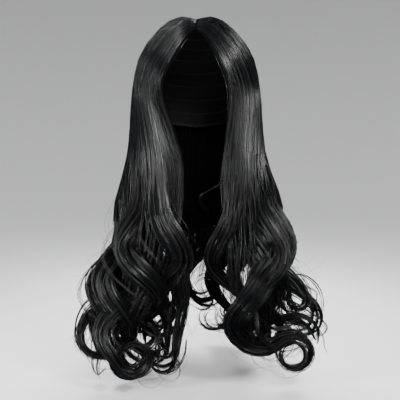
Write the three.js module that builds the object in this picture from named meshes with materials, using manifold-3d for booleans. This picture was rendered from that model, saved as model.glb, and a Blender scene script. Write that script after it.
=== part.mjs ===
// A long wavy wig in its worn form: a thin hollow cap, and five zones of hair that are sewn to it.
// The hair is combed from a centre part over the crown as one smooth sheet that falls to the chest,
// with separate locks on it from the chin down that wave and end in open curls.
// Millimetres, +Z up. The wearer faces -Y, and left and right are as seen from the front, so left is -X.
// The origin is the inside top of the cap, where the crown of the head sits.

import * as THREE from "three";
import { mergeVertices } from "three/addons/utils/BufferGeometryUtils.js";
import Module from "manifold-3d";

const wasm = await Module();
wasm.setup();

// Head form inside the cap, a half ellipsoid whose centre lies below the crown.
const HEAD_HALF_WIDTH = 74;
const HEAD_HALF_DEPTH = 95;
const HEAD_CROWN_HEIGHT = 100;

// Cap wall, and the clearance that the hair keeps to the cap and to the next zone.
const CAP_WALL = 2;
const CAP_COLUMNS = 32;
const CAP_ROWS = 6;
const HAIR_GAP = 0.6;

// Backing sheet of hair: its height over the head at the part and past it, and its half thickness.
const PART_LIFT = 4.4;
const SHEET_LIFT = 11;
const PART_RISE = 0.2;
const SHEET_INNER_LIFT = CAP_WALL + 2;
const SHEET_OUTER = 5;
const SHEET_INNER = 6;
const SHEET_HEM = 0.5;
const SHEET_EDGE = 0.5;
const SHEET_HEAD_ROWS = 8;
const SHEET_HANG_ROWS = 5;
const SHEET_SEAM = 0.03;
const PART_HALF_ANGLE = 2.6;
const BACK_ROOT_FAN = 0.065;
const LEAVE_POLAR = 88;

// Levels at which the lock table places each lock, and the reach of the waves.
const LEVEL = { chin: -195, chest: -310, tip: -425 };
const WAVE_START = -150;
const WAVE_FULL = -340;
const WAVE_TIGHTEN = 0.0036;

// Lock sections: half sizes in the plane of the wave and across it, as shares of the lock's width.
const LOCK_PROFILE = [
  { along: 0, flat: 0.35, deep: 0.2 },
  { along: 0.22, flat: 0.9, deep: 0.6 },
  { along: 0.45, flat: 1, deep: 0.7 },
  { along: 0.65, flat: 0.62, deep: 0.6 },
  { along: 0.9, flat: 0.38, deep: 0.45 },
  { along: 1, flat: 0.1, deep: 0.1 },
];
const RING_LENGTH = 48;
const RING_TURN = 50;
const TAIL_STEP = 1.5;
const TAIL_SHRINK = 0.3;
const TAIL_ADVANCE = 0.06;

// Front edge of the cap to its nape: polar angle of the rim, from the crown, against azimuth from the front.
const CAP_RIM = [
  { azimuth: 0, polar: 34 },
  { azimuth: 12, polar: 40 },
  { azimuth: 26, polar: 58 },
  { azimuth: 38, polar: 80 },
  { azimuth: 58, polar: 96 },
  { azimuth: 86, polar: 90 },
  { azimuth: 112, polar: 99 },
  { azimuth: 145, polar: 115 },
  { azimuth: 180, polar: 118 },
];

// Each zone's own axes: across runs along the curtain of hair, and out points away from the wearer.
// stand is how far out the hair hangs at the chin, chest and tip levels, and hem is the height of the sheet's
// lower edge. ripple is the half width of the wave that the sheet takes, and ridge how far its locks stand
// proud of it there. The locks come free of the sheet at the height free.
const ZONES = {
  front_hair_left: { across: [-1, 0], out: [0, -1], stand: [92, 116, 130], hem: -345, ripple: 0, ridge: 0, free: -186 },
  side_hair_left: { across: [0, 1], out: [-1, 0], stand: [90, 100, 106], hem: -412, ripple: 16, ridge: 4, free: -378 },
  back_hair: { across: [1, 0], out: [0, 1], stand: [92, 102, 108], hem: -416, ripple: 16, ridge: 4, free: -382 },
  side_hair_right: { across: [0, 1], out: [1, 0], stand: [90, 100, 106], hem: -412, ripple: 16, ridge: 4, free: -378 },
  front_hair_right: { across: [1, 0], out: [0, -1], stand: [92, 116, 130], hem: -345, ripple: 0, ridge: 0, free: -186 },
};
const RIPPLE = { crest: -305, pitch: 270, roll: 0.6 };
const LOCK_SIDES = 5;

// One row for each lock, in order round the head from the left of the face to its right.
// root: angle along the part from the crown, forward; leave: azimuth where it leaves the head;
// chin, chest, tip: place across at the three levels; depth: more stand; end: height where the tail starts;
// swing, crest, pitch, roll: wave's half width, height of an outward crest, length and depth share;
// hook, curl: turns of the tail in degrees, inward positive, with their radii; wide: half width.
const COLUMNS =
  "root leave chin chest tip depth end swing crest pitch roll hook hookRadius curl curlRadius wide".split(" ");
const LOCKS = {
  front_hair_left: [
    [33, 37, 28, 27, 18, 4, -445, 8, -260, 300, 0.6, 0, 20, -330, 18, 12],
    [27, 48, 52, 46, 100, 14, -450, 30, -214, 290, 0.6, 0, 20, 300, 23, 21],
    [21, 60, 72, 74, 84, 6, -404, 30, -290, 250, 0.6, 0, 20, 330, 22, 21],
    [15, 70, 82, 90, 110, -6, -438, 24, -345, 260, 0.6, 0, 20, 330, 23, 21],
    [10, 80, 90, 103, 114, -16, -400, 32, -357, 280, 0.6, 0, 20, 240, 24, 12],
    [6, 88, 91, 100, 127, -28, -436, 28, -415, 300, 0.6, 0, 20, 150, 34, 12],
  ],
  side_hair_left: [
    [0, 98, -42, -46, -50, 0, -408, 20, -300, 270, 0.6, 0, 20, 230, 24, 20],
    [-6, 109, -6, -10, -12, 1, -424, 20, -312, 270, 0.6, 0, 20, -240, 23, 20],
    [-13, 122, 34, 32, 32, -3, -412, 20, -298, 270, 0.6, 0, 20, 230, 24, 20],
  ],
  back_hair: [
    [-16, -138, -63, -74, -80, -6, -412, 20, -300, 270, 0.6, 0, 20, -230, 24, 20],
    [-20, -159, -33, -39, -42, 2, -428, 20, -314, 270, 0.6, 0, 20, 240, 23, 20],
    [-22, 180, 0, 0, 0, 6, -414, 20, -304, 270, 0.6, 0, 20, -250, 24, 20],
    [-20, 159, 33, 39, 42, 2, -430, 20, -313, 270, 0.6, 0, 20, 240, 24, 20],
    [-16, 138, 63, 74, 80, -6, -416, 20, -303, 270, 0.6, 0, 20, 230, 24, 20],
  ],
  side_hair_right: [
    [-13, 122, 34, 32, 32, -3, -414, 20, -300, 270, 0.6, 0, 20, 230, 24, 20],
    [-6, 109, -6, -10, -12, 1, -426, 20, -312, 270, 0.6, 0, 20, -240, 23, 20],
    [0, 98, -42, -46, -50, 0, -408, 20, -305, 270, 0.6, 0, 20, 230, 24, 20],
  ],
  front_hair_right: [
    [6, 88, 92, 110, 140, -24, -388, 34, -395, 270, 0.6, 0, 20, 250, 26, 12],
    [10, 80, 91, 108, 138, -14, -372, 26, -368, 250, 0.6, 0, 20, 350, 16, 13],
    [15, 70, 86, 98, 108, -6, -402, 28, -284, 260, 0.6, 0, 20, 330, 22, 21],
    [21, 60, 76, 84, 98, 4, -402, 26, -300, 260, 0.6, 0, 20, 300, 22, 21],
    [27, 48, 62, 66, 72, 14, -425, 21, -333, 240, 0.6, -90, 31, 340, 26, 20],
    [33, 36, 44, 44, 56, 10, -402, 26, -212, 290, 0.6, -110, 34, 40, 30, 12],
  ],
};

const COLOURS = { cap: 0x14130f, hair: 0x0b0b0d };

const radians = THREE.MathUtils.degToRad;
const smooth = (value) => THREE.MathUtils.smoothstep(value, 0, 1);

// Directions from the centre of the head form, and points at a height over its surface.
function headDirection(azimuth, polar) {
  const a = radians(azimuth);
  const p = radians(polar);
  return new THREE.Vector3(Math.sin(p) * Math.sin(a), -Math.sin(p) * Math.cos(a), Math.cos(p));
}

function partDirection(along, lateral) {
  const a = radians(along);
  return new THREE.Vector3(Math.sin(radians(lateral)), -Math.sin(a), Math.cos(a)).normalize();
}

function headPoint(direction, lift) {
  const scale = new THREE.Vector3(HEAD_HALF_WIDTH, HEAD_HALF_DEPTH, HEAD_CROWN_HEIGHT);
  const normal = direction.clone().divide(scale).normalize();
  const point = direction.clone().multiply(scale).addScaledVector(normal, lift);
  return point.setZ(point.z - HEAD_CROWN_HEIGHT);
}

function between(from, to, share) {
  const angle = from.angleTo(to);
  const start = Math.sin((1 - share) * angle) / Math.sin(angle);
  return from.clone().multiplyScalar(start).addScaledVector(to, Math.sin(share * angle) / Math.sin(angle));
}

// A value from a short table, eased between its rows.
function fromTable(rows, key, column, at) {
  const next = Math.max(1, rows.findIndex((row) => row[key] >= at));
  const a = rows[next - 1];
  const b = rows[next];
  return THREE.MathUtils.lerp(a[column], b[column], smooth((at - a[key]) / (b[key] - a[key])));
}

// Lock rows with their names, zone and axes.
const locks = Object.entries(LOCKS).flatMap(([zone, rows]) =>
  rows.map((row) => ({
    ...Object.fromEntries(COLUMNS.map((name, i) => [name, row[i]])),
    zone,
    across: new THREE.Vector3(...ZONES[zone].across, 0),
    out: new THREE.Vector3(...ZONES[zone].out, 0),
    stand: ZONES[zone].stand,
    free: ZONES[zone].free,
  })),
);

// Azimuth and root of a lock, with the back locks fanned out from the end of the part.
function headEnds(lock) {
  const leftSide = lock.zone.endsWith("left") || lock.leave < 0;
  const side = leftSide ? -1 : 1;
  const fromBack = side * (180 - Math.abs(lock.leave));
  const lateral = lock.zone === "back_hair" ? fromBack * BACK_ROOT_FAN : side * PART_HALF_ANGLE;
  return {
    root: partDirection(lock.root, lateral),
    leave: headDirection(side * Math.abs(lock.leave), LEAVE_POLAR),
  };
}

// Points that a lock's guide line passes: five over the head, then the three levels.
// face is 0 on the line itself, 1 on the outside of the sheet and -1 on its inside.
const HEAD_SHARES = [0, 0.18, 0.4, 0.7, 1];
function guideKnots(lock, face = 0, grow = 0) {
  const { root, leave } = headEnds(lock);
  const knots = HEAD_SHARES.map((share) => {
    const rise = (smooth(share / PART_RISE) + smooth(share)) / 2;
    const middle = THREE.MathUtils.lerp(PART_LIFT, SHEET_LIFT, rise);
    const outer = middle + SHEET_OUTER * (0.2 + 0.8 * rise) + grow;
    const lift = [SHEET_INNER_LIFT - grow, middle, outer][face + 1];
    return headPoint(between(root, leave, share), lift);
  });
  Object.entries(LEVEL).forEach(([name, height], i) => {
    const thin = name === "tip" ? SHEET_HEM : 1;
    const extra = [-SHEET_INNER * thin - grow, 0, SHEET_OUTER * thin + grow][face + 1];
    const stand = lock.stand[i] + lock.depth + extra;
    const place = face !== 0 && name === "tip" ? lock.chest : lock[name];
    const knot = lock.across.clone().multiplyScalar(place).addScaledVector(lock.out, stand);
    knots.push(knot.setZ(height));
  });
  return knots;
}

// Phase of the wave at a height, in turns: the pitch tightens with depth below the start.
function waveTurns(height, pitch) {
  const depth = WAVE_START - height;
  return (depth + (WAVE_TIGHTEN / 2) * depth * depth) / pitch;
}

// A point of a guide moved by the wave at its height.
function waved(point, lock, wave) {
  const turns = waveTurns(point.z, wave.pitch) - waveTurns(wave.crest, wave.pitch);
  const ramp = smooth((WAVE_START - point.z) / (WAVE_START - WAVE_FULL)) ** 2;
  return point
    .clone()
    .addScaledVector(lock.across, wave.swing * ramp * Math.cos(2 * Math.PI * turns))
    .addScaledVector(lock.out, wave.roll * wave.swing * ramp * Math.sin(2 * Math.PI * turns));
}

// The lock's own line from below the ear to its tip, waves and tail included.
function lockLine(lock) {
  const guide = new THREE.CatmullRomCurve3(guideKnots(lock)).getSpacedPoints(400);
  const last = guide.at(-1);
  const fall = last.clone().sub(guide.at(-2)).normalize();
  for (let z = last.z; z > lock.end; z = guide.at(-1).z) guide.push(guide.at(-1).clone().addScaledVector(fall, 2));
  const line = guide
    .filter((point) => point.z < lock.free && point.z >= lock.end)
    .map((point) => waved(point, lock, lock));
  return line.concat(tail(lock, line));
}

// The hook and curl at the end of a lock, two arcs in the plane of the wave.
function tail(lock, line) {
  const way = line.at(-1).clone().sub(line.at(-3));
  let heading = Math.atan2(-way.z, way.dot(lock.across));
  const point = line.at(-1).clone();
  const points = [];
  const arcs = [
    { turn: lock.hook, radius: lock.hookRadius, shrink: 0 },
    { turn: lock.curl, radius: lock.curlRadius, shrink: TAIL_SHRINK },
  ];
  for (const { turn, radius, shrink } of arcs) {
    const steps = Math.round((radians(Math.abs(turn)) * radius) / TAIL_STEP);
    for (let i = 0; i < steps; i++) {
      heading += (Math.sign(turn) * TAIL_STEP) / (radius * (1 - (shrink * i) / steps));
      point.addScaledVector(lock.across, TAIL_STEP * Math.cos(heading));
      point.addScaledVector(lock.out, TAIL_ADVANCE * TAIL_STEP);
      point.z -= TAIL_STEP * Math.sin(heading);
      points.push(point.clone());
    }
  }
  return points;
}

// Stations of a line for its rings, closer where it bends.
function stations(line) {
  const chosen = [0];
  let spent = 0;
  for (let i = 1; i < line.length - 1; i++) {
    const before = line[i].clone().sub(line[i - 1]);
    const after = line[i + 1].clone().sub(line[i]);
    spent += before.length() / RING_LENGTH + before.angleTo(after) / radians(RING_TURN);
    if (spent >= 1) {
      chosen.push(i);
      spent = 0;
    }
  }
  return [...chosen, line.length - 1];
}

// A closed mesh from rings of equal count, with a strip across each end.
function loft(rings) {
  const sides = rings[0].length;
  const positions = rings.flat().flatMap((point) => point.toArray());
  const index = [];
  for (let r = 0; r + 1 < rings.length; r++) {
    for (let s = 0; s < sides; s++) {
      const a = r * sides + s;
      const b = r * sides + ((s + 1) % sides);
      index.push(a, b + sides, b, a, a + sides, b + sides);
    }
  }
  const end = (rings.length - 1) * sides;
  for (let s = 0; s + 1 < sides - 1 - s; s++) {
    const [a, b, c, d] = [s, s + 1, sides - 2 - s, sides - 1 - s];
    index.push(a, b, d, end + a, end + d, end + b);
    if (b !== c) index.push(b, c, d, end + b, end + d, end + c);
  }
  return solid(positions, index);
}

function solid(positions, index) {
  const geometry = new THREE.BufferGeometry();
  geometry.setAttribute("position", new THREE.Float32BufferAttribute(positions, 3));
  geometry.setIndex(index);
  const merged = mergeVertices(geometry, 1e-4);
  const made = new wasm.Manifold(
    new wasm.Mesh({
      numProp: 3,
      vertProperties: merged.attributes.position.array,
      triVerts: new Uint32Array(merged.index.array),
    }),
  );
  return made;
}

// One lock: an oval section carried along its line, flat in the plane of the wave.
function lockSolid(lock, grow = 0) {
  const line = lockLine(lock);
  const rings = stations(line).map((i) => {
    const way = line[Math.min(i + 1, line.length - 1)].clone().sub(line[Math.max(i - 1, 0)]).normalize();
    const deepAxis = lock.out.clone().addScaledVector(way, -lock.out.dot(way)).normalize();
    const flatAxis = way.clone().cross(deepAxis);
    const along = i / (line.length - 1);
    const past = along === 0 ? -grow : along === 1 ? grow : 0;
    const flat = lock.wide * fromTable(LOCK_PROFILE, "along", "flat", along) + grow;
    const deep = lock.wide * fromTable(LOCK_PROFILE, "along", "deep", along) + grow;
    return Array.from({ length: LOCK_SIDES }, (_, s) => {
      const angle = (2 * Math.PI * s) / LOCK_SIDES;
      return line[i]
        .clone()
        .addScaledVector(way, past)
        .addScaledVector(flatAxis, flat * Math.cos(angle))
        .addScaledVector(deepAxis, deep * Math.sin(angle));
    });
  });
  return loft(rings);
}

// Rows of points of one face of the whole sheet: a smooth curve across all the locks for each row,
// over the head to the chin and then down to the hem.
function sheetRows(zone, face, grow) {
  const { hem, ripple } = ZONES[zone];
  const knots = HEAD_SHARES.length + Object.keys(LEVEL).length - 1;
  const chin = HEAD_SHARES.length;
  const low = (LEVEL.chin - hem) / (LEVEL.chin - LEVEL.chest);
  const shares = [
    ...Array.from({ length: SHEET_HEAD_ROWS }, (_, i) => (chin * i) / SHEET_HEAD_ROWS),
    ...Array.from({ length: SHEET_HANG_ROWS + 1 }, (_, i) => chin + (low * i) / SHEET_HANG_ROWS),
  ];
  const guides = locks.map((lock) => new THREE.CatmullRomCurve3(guideKnots(lock, face, grow)));
  const wave = { ...RIPPLE, swing: ripple };
  return shares.map((share) => {
    const points = guides.map((guide, i) => waved(guide.getPoint(share / knots), locks[i], wave));
    return { curve: new THREE.CatmullRomCurve3(points), edge: SHEET_EDGE * (1 - smooth(share - chin)) };
  });
}

// A point of a row at a place counted in locks: lock k lies at k + 0.5. Past the first and last lock
// the row runs on straight, by the row's edge.
function acrossRow({ curve, edge }, place) {
  const most = locks.length - 1;
  const inside = THREE.MathUtils.clamp(place - 0.5, 0, most);
  const beyond = Math.sign(place - 0.5 - inside);
  const at = curve.getPoint(inside / most);
  if (beyond === 0) return at;
  const before = curve.getPoint((inside - beyond) / most);
  return at.clone().addScaledVector(at.clone().sub(before), edge);
}

// The part of the sheet that belongs to a zone, as a closed slab.
function sheetSolid(zone, grow = 0) {
  const first = locks.findIndex((lock) => lock.zone === zone);
  const count = LOCKS[zone].length;
  const seam = SHEET_SEAM * (grow > 0 ? -0.4 : 1);
  const { ridge, hem } = ZONES[zone];
  const step = ridge ? 0.5 : 1;
  const places = [first + seam];
  for (let place = first + 0.5; place < first + count; place += step) places.push(place);
  places.push(first + count - seam);
  const outside = sheetRows(zone, 1, grow);
  const inside = sheetRows(zone, -1, grow);
  const rings = places.map((place) => {
    const inner = inside.map((row) => acrossRow(row, place));
    const outer = outside.map((row, i) => {
      const point = acrossRow(row, place);
      const out = point.clone().sub(inner[i]).normalize();
      const proud = ridge * smooth((LEVEL.chin - point.z) / (LEVEL.chin - hem) + 0.3);
      return point.addScaledVector(out, -proud * Math.cos(2 * Math.PI * place));
    });
    return [...outer, ...inner.reverse()];
  });
  return loft(rings);
}

// The cap: an open bowl between the head form and the cap's outer face.
function capSolid(grow = 0) {
  const positions = [];
  const index = [];
  const ring = CAP_ROWS * 2;
  const crown = [CAP_WALL + grow, -grow].map((lift) => {
    positions.push(...headPoint(headDirection(0, 0), lift).toArray());
    return positions.length / 3 - 1;
  });
  for (let column = 0; column < CAP_COLUMNS; column++) {
    const azimuth = (360 * column) / CAP_COLUMNS;
    const rim = fromTable(CAP_RIM, "azimuth", "polar", azimuth > 180 ? 360 - azimuth : azimuth) + grow;
    for (let i = 0; i < ring; i++) {
      const row = i < CAP_ROWS ? i + 1 : ring - i;
      const direction = headDirection(azimuth, (rim * row) / CAP_ROWS);
      positions.push(...headPoint(direction, i < CAP_ROWS ? CAP_WALL + grow : -grow).toArray());
    }
  }
  for (let column = 0; column < CAP_COLUMNS; column++) {
    const a = 2 + column * ring;
    const b = 2 + ((column + 1) % CAP_COLUMNS) * ring;
    index.push(crown[0], a, b);
    index.push(crown[1], b + ring - 1, a + ring - 1);
    for (let i = 0; i + 1 < ring; i++) {
      index.push(a + i, a + i + 1, b + i + 1, a + i, b + i + 1, b + i);
    }
  }
  return solid(positions, index);
}

function meshOf(name, made, colour) {
  const { vertProperties, triVerts } = made.getMesh();
  const geometry = new THREE.BufferGeometry();
  geometry.setAttribute("position", new THREE.BufferAttribute(vertProperties, 3));
  geometry.setIndex(new THREE.BufferAttribute(triVerts, 1));
  geometry.computeVertexNormals();
  const mesh = new THREE.Mesh(geometry, new THREE.MeshStandardMaterial({ color: colour, roughness: 0.42 }));
  mesh.name = name;
  return mesh;
}

// A zone's sheet and locks fused into one body, cut clear of the zones already made.
function zonePieces(zone, grow) {
  const own = locks.filter((lock) => lock.zone === zone);
  return [sheetSolid(zone, grow), ...own.map((lock) => lockSolid(lock, grow))];
}

function largest(made) {
  return made.decompose().reduce((best, body) => (body.volume() > best.volume() ? body : best));
}

const wig = new THREE.Group();
wig.name = "wavy_wig";
wig.add(meshOf("cap", capSolid(), COLOURS.cap));

const ZONE_ORDER = ["front_hair_left", "front_hair_right", "side_hair_left", "side_hair_right", "back_hair"];
let taken = capSolid(HAIR_GAP);
for (const zone of ZONE_ORDER) {
  const fused = zonePieces(zone, 0).reduce((sum, piece) => sum.add(piece));
  wig.add(meshOf(zone, largest(fused.subtract(taken)), COLOURS.hair));
  const fat = zonePieces(zone, HAIR_GAP).reduce((sum, piece) => sum.add(piece));
  taken = taken.add(fat);
}

export default wig;
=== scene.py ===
"""A long wavy wig in its worn form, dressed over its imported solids.

The cap is a thin net shell with sewn rows, and the hair is five zones of strands that leave a centre part,
lie smooth over the crown, and fall in wavy locks that end in open curls. Sizes in the tables are in
millimetres and degrees. Every mesh is in metres, +Z up, with the wearer facing -Y.
"""

import logging
import math
from dataclasses import dataclass, field, replace
from enum import Enum

import bpy
import numpy as np
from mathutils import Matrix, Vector

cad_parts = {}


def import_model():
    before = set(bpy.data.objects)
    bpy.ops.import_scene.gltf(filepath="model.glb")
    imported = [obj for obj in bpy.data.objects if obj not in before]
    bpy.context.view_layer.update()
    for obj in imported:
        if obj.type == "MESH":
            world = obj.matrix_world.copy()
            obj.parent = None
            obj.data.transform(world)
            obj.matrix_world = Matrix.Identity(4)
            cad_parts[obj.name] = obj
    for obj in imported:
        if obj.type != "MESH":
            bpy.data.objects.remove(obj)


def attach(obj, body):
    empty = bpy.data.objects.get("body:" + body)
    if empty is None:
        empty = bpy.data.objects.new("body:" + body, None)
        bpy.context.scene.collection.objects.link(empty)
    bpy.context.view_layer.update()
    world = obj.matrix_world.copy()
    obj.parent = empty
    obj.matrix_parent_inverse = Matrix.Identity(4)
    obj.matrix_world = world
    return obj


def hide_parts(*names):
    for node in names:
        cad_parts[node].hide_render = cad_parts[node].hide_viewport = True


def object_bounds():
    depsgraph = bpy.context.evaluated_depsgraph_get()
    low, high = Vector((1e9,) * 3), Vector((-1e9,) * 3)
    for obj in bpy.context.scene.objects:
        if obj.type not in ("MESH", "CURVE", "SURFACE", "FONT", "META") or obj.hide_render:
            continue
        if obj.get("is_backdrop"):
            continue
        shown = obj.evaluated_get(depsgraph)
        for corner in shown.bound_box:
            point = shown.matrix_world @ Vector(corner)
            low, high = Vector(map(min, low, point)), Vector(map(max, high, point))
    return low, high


LOG = logging.getLogger("wavy_wig")
MM = 0.001
BAKE_MAP = "OFBake"
SEED = 8074
# How far a loose strand may reach past the box of the solids, in millimetres
STRAY = 12.0


def smooth(value: np.ndarray | float) -> np.ndarray:
    """Eases a value from 0 to 1, flat outside that range."""
    x = np.clip(value, 0.0, 1.0)
    return x * x * (3.0 - 2.0 * x)


def unit(vectors: np.ndarray) -> np.ndarray:
    """Gives vectors length 1 along their last axis."""
    return vectors / np.maximum(np.linalg.norm(vectors, axis=-1, keepdims=True), 1e-9)


def spline(knots: np.ndarray, at: np.ndarray) -> np.ndarray:
    """Samples a centripetal Catmull-Rom curve, which runs on straight past its last knot.

    Args:
        knots: points that the curve passes, one row each.
        at: places along it, counted in knots.

    Returns:
        One point for each place.
    """
    padded = np.vstack([2 * knots[0] - knots[1], knots, 2 * knots[-1] - knots[-2]])
    first = np.clip(np.floor(at).astype(int), 0, len(knots) - 2)
    within = np.clip(at - first, 0.0, 1.0)[:, None]
    p0, p1, p2, p3 = (padded[first + i] for i in range(4))
    pairs = ((p0, p1), (p1, p2), (p2, p3))
    d0, d1, d2 = (np.sqrt(np.linalg.norm(b - a, axis=1))[:, None] + 1e-9 for a, b in pairs)
    start = ((p1 - p0) / d0 - (p2 - p0) / (d0 + d1) + (p2 - p1) / d1) * d1
    stop = ((p2 - p1) / d1 - (p3 - p1) / (d1 + d2) + (p3 - p2) / d2) * d1
    square = -3 * p1 + 3 * p2 - 2 * start - stop
    cube = 2 * p1 - 2 * p2 + start + stop
    beyond = np.clip(at - (len(knots) - 1), 0.0, None)[:, None]
    return p1 + start * within + square * within**2 + cube * within**3 + stop * beyond


def arc_lengths(points: np.ndarray) -> np.ndarray:
    """Measures the length from the first point of a line to each of its points."""
    return np.concatenate([[0.0], np.cumsum(np.linalg.norm(np.diff(points, axis=0), axis=1))])


def line_axes(points: np.ndarray, out: np.ndarray) -> tuple[np.ndarray, np.ndarray, np.ndarray]:
    """Finds the axes of the sections along a line.

    Args:
        points: points of the line, in order.
        out: the direction that the deep axis leans to.

    Returns:
        The way along the line, the flat axis and the deep axis, at each point.
    """
    way = unit(np.gradient(points, axis=0))
    deep = unit(out - (way @ out)[:, None] * way)
    return way, np.cross(way, deep), deep


def oval_rings(points: np.ndarray, axes: tuple[np.ndarray, np.ndarray], sizes: tuple[np.ndarray, np.ndarray],
               angles: np.ndarray) -> np.ndarray:
    """Sets an oval ring round each point of a line.

    Args:
        points: points of the line.
        axes: the two axes of the oval at each point.
        sizes: the half sizes along them.
        angles: places round the oval, in radians.

    Returns:
        Points, a ring in each row.
    """
    side = (np.cos(angles) * sizes[0][:, None])[..., None] * axes[0][:, None]
    face = (np.sin(angles) * sizes[1][:, None])[..., None] * axes[1][:, None]
    return points[:, None] + side + face


def ring_quads(rows: int, wide: int) -> np.ndarray:
    """Joins rings of points, each to the next.

    Args:
        rows: number of rings.
        wide: points in each ring.

    Returns:
        Faces of four corners.
    """
    here, steps = np.arange(wide), np.arange(rows - 1)[:, None] * wide
    then = (here + 1) % wide
    quads = np.stack([steps + here, steps + wide + here, steps + wide + then, steps + then], axis=-1)
    return quads.reshape(-1, 4)


def mesh_from_arrays(name: str, verts: np.ndarray, quads: np.ndarray, tris: np.ndarray) -> bpy.types.Mesh:
    """Makes a smooth mesh from arrays.

    Args:
        name: the mesh's name.
        verts: points in metres.
        quads: faces of four corners.
        tris: faces of three corners.

    Returns:
        The new mesh, with the quads first.
    """
    mesh = bpy.data.meshes.new(name)
    corners = np.concatenate([quads.ravel(), tris.ravel()]).astype(np.int32)
    begins = np.concatenate([np.arange(len(quads)) * 4, len(quads) * 4 + np.arange(len(tris)) * 3])
    mesh.vertices.add(len(verts))
    mesh.vertices.foreach_set("co", verts.astype(np.float32).ravel())
    mesh.loops.add(len(corners))
    mesh.loops.foreach_set("vertex_index", corners)
    mesh.polygons.add(len(begins))
    mesh.polygons.foreach_set("loop_start", begins.astype(np.int32))
    mesh.update(calc_edges=True)
    mesh.shade_smooth()
    return mesh


def add_attribute(mesh: bpy.types.Mesh, name: str, values: np.ndarray) -> None:
    """Gives the points of a mesh numbers that its finish reads.

    Args:
        mesh: the mesh.
        name: the attribute's name.
        values: a number or a vector for each point.
    """
    kind, key = ("FLOAT", "value") if values.ndim == 1 else ("FLOAT_VECTOR", "vector")
    made = mesh.attributes.new(name, kind, "POINT")
    made.data.foreach_set(key, values.astype(np.float32).ravel())


def link_mesh(mesh: bpy.types.Mesh, material: bpy.types.Material) -> bpy.types.Object:
    """Puts a mesh in the scene as an object of the same name.

    Args:
        mesh: the mesh.
        material: its finish.

    Returns:
        The new object.
    """
    mesh.materials.append(material)
    made = bpy.data.objects.new(mesh.name, mesh)
    bpy.context.scene.collection.objects.link(made)
    return made


def add_node(tree: bpy.types.NodeTree, kind: str, inputs: dict[str | int, object] | None = None,
             **settings: object) -> bpy.types.Node:
    """Adds a shader node.

    Args:
        tree: the nodes that it joins.
        kind: its type.
        inputs: for an input's name or number, the socket that feeds it or its plain value.
        settings: the node's own options.

    Returns:
        The new node.
    """
    node = tree.nodes.new(kind)
    for name, setting in settings.items():
        setattr(node, name, setting)
    for key, value in (inputs or {}).items():
        if isinstance(value, bpy.types.NodeSocket):
            tree.links.new(value, node.inputs[key])
        else:
            node.inputs[key].default_value = value
    return node


class ZoneName(Enum):
    """Zones of hair, by the name of the solid that each one dresses."""

    FRONT_LEFT = "front_hair_left"
    SIDE_LEFT = "side_hair_left"
    BACK = "back_hair"
    SIDE_RIGHT = "side_hair_right"
    FRONT_RIGHT = "front_hair_right"


@dataclass(frozen=True)
class HeadForm:
    """The half ellipsoid that the cap fits, with its crown at the origin."""

    half_width: float = 74.0
    half_depth: float = 95.0
    crown_height: float = 100.0

    @property
    def scale(self) -> np.ndarray:
        """Half sizes along X, Y and Z."""
        return np.array([self.half_width, self.half_depth, self.crown_height])

    def direction(self, azimuth: np.ndarray | float, polar: np.ndarray | float) -> np.ndarray:
        """Points from the head's centre, by degrees round from the face to +X and down from the crown."""
        a, p = np.radians(azimuth), np.radians(polar)
        return np.stack([np.sin(p) * np.sin(a), -np.sin(p) * np.cos(a), np.cos(p) + 0 * a], axis=-1)

    def part_direction(self, along: float, lateral: float) -> np.ndarray:
        """Points at a root beside the part, by degrees forward of the crown and to the side."""
        a = math.radians(along)
        return unit(np.array([math.sin(math.radians(lateral)), -math.sin(a), math.cos(a)]))

    def point(self, direction: np.ndarray, lift: np.ndarray | float) -> np.ndarray:
        """Finds points over the head.

        Args:
            direction: unit directions from its centre.
            lift: height over the surface.

        Returns:
            Points in millimetres.
        """
        normal = unit(direction / self.scale)
        above = np.asarray(lift)[..., None] * normal
        return direction * self.scale + above - np.array([0.0, 0.0, self.crown_height])

    def normal(self, points: np.ndarray) -> np.ndarray:
        """Finds which way is out of the head at points in millimetres."""
        return unit((points + np.array([0.0, 0.0, self.crown_height])) / self.scale**2)


@dataclass(frozen=True)
class Lock:
    """One lock of hair: where it starts, hangs and waves, and how its tail curls."""

    root: float
    leave: float
    chin: float
    chest: float
    tip: float
    depth: float
    end: float
    swing: float
    crest: float
    pitch: float
    roll: float
    hook: float
    hook_radius: float
    curl: float
    curl_radius: float
    wide: float
    advance: float = 0.06


@dataclass(frozen=True)
class Zone:
    """A zone of hair: its own axes, how far out it hangs at three levels, its hem and its locks."""

    name: ZoneName
    across: tuple[float, float]
    out: tuple[float, float]
    stand: tuple[float, float, float]
    hem: float
    ripple: float
    rows: tuple[tuple[float, ...], ...]

    @property
    def locks(self) -> list[Lock]:
        """The rows with their columns named."""
        return [Lock(*row) for row in self.rows]

    @property
    def axes(self) -> tuple[np.ndarray, np.ndarray]:
        """Directions along the curtain and away from the wearer."""
        return np.array([*self.across, 0.0]), np.array([*self.out, 0.0])


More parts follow.
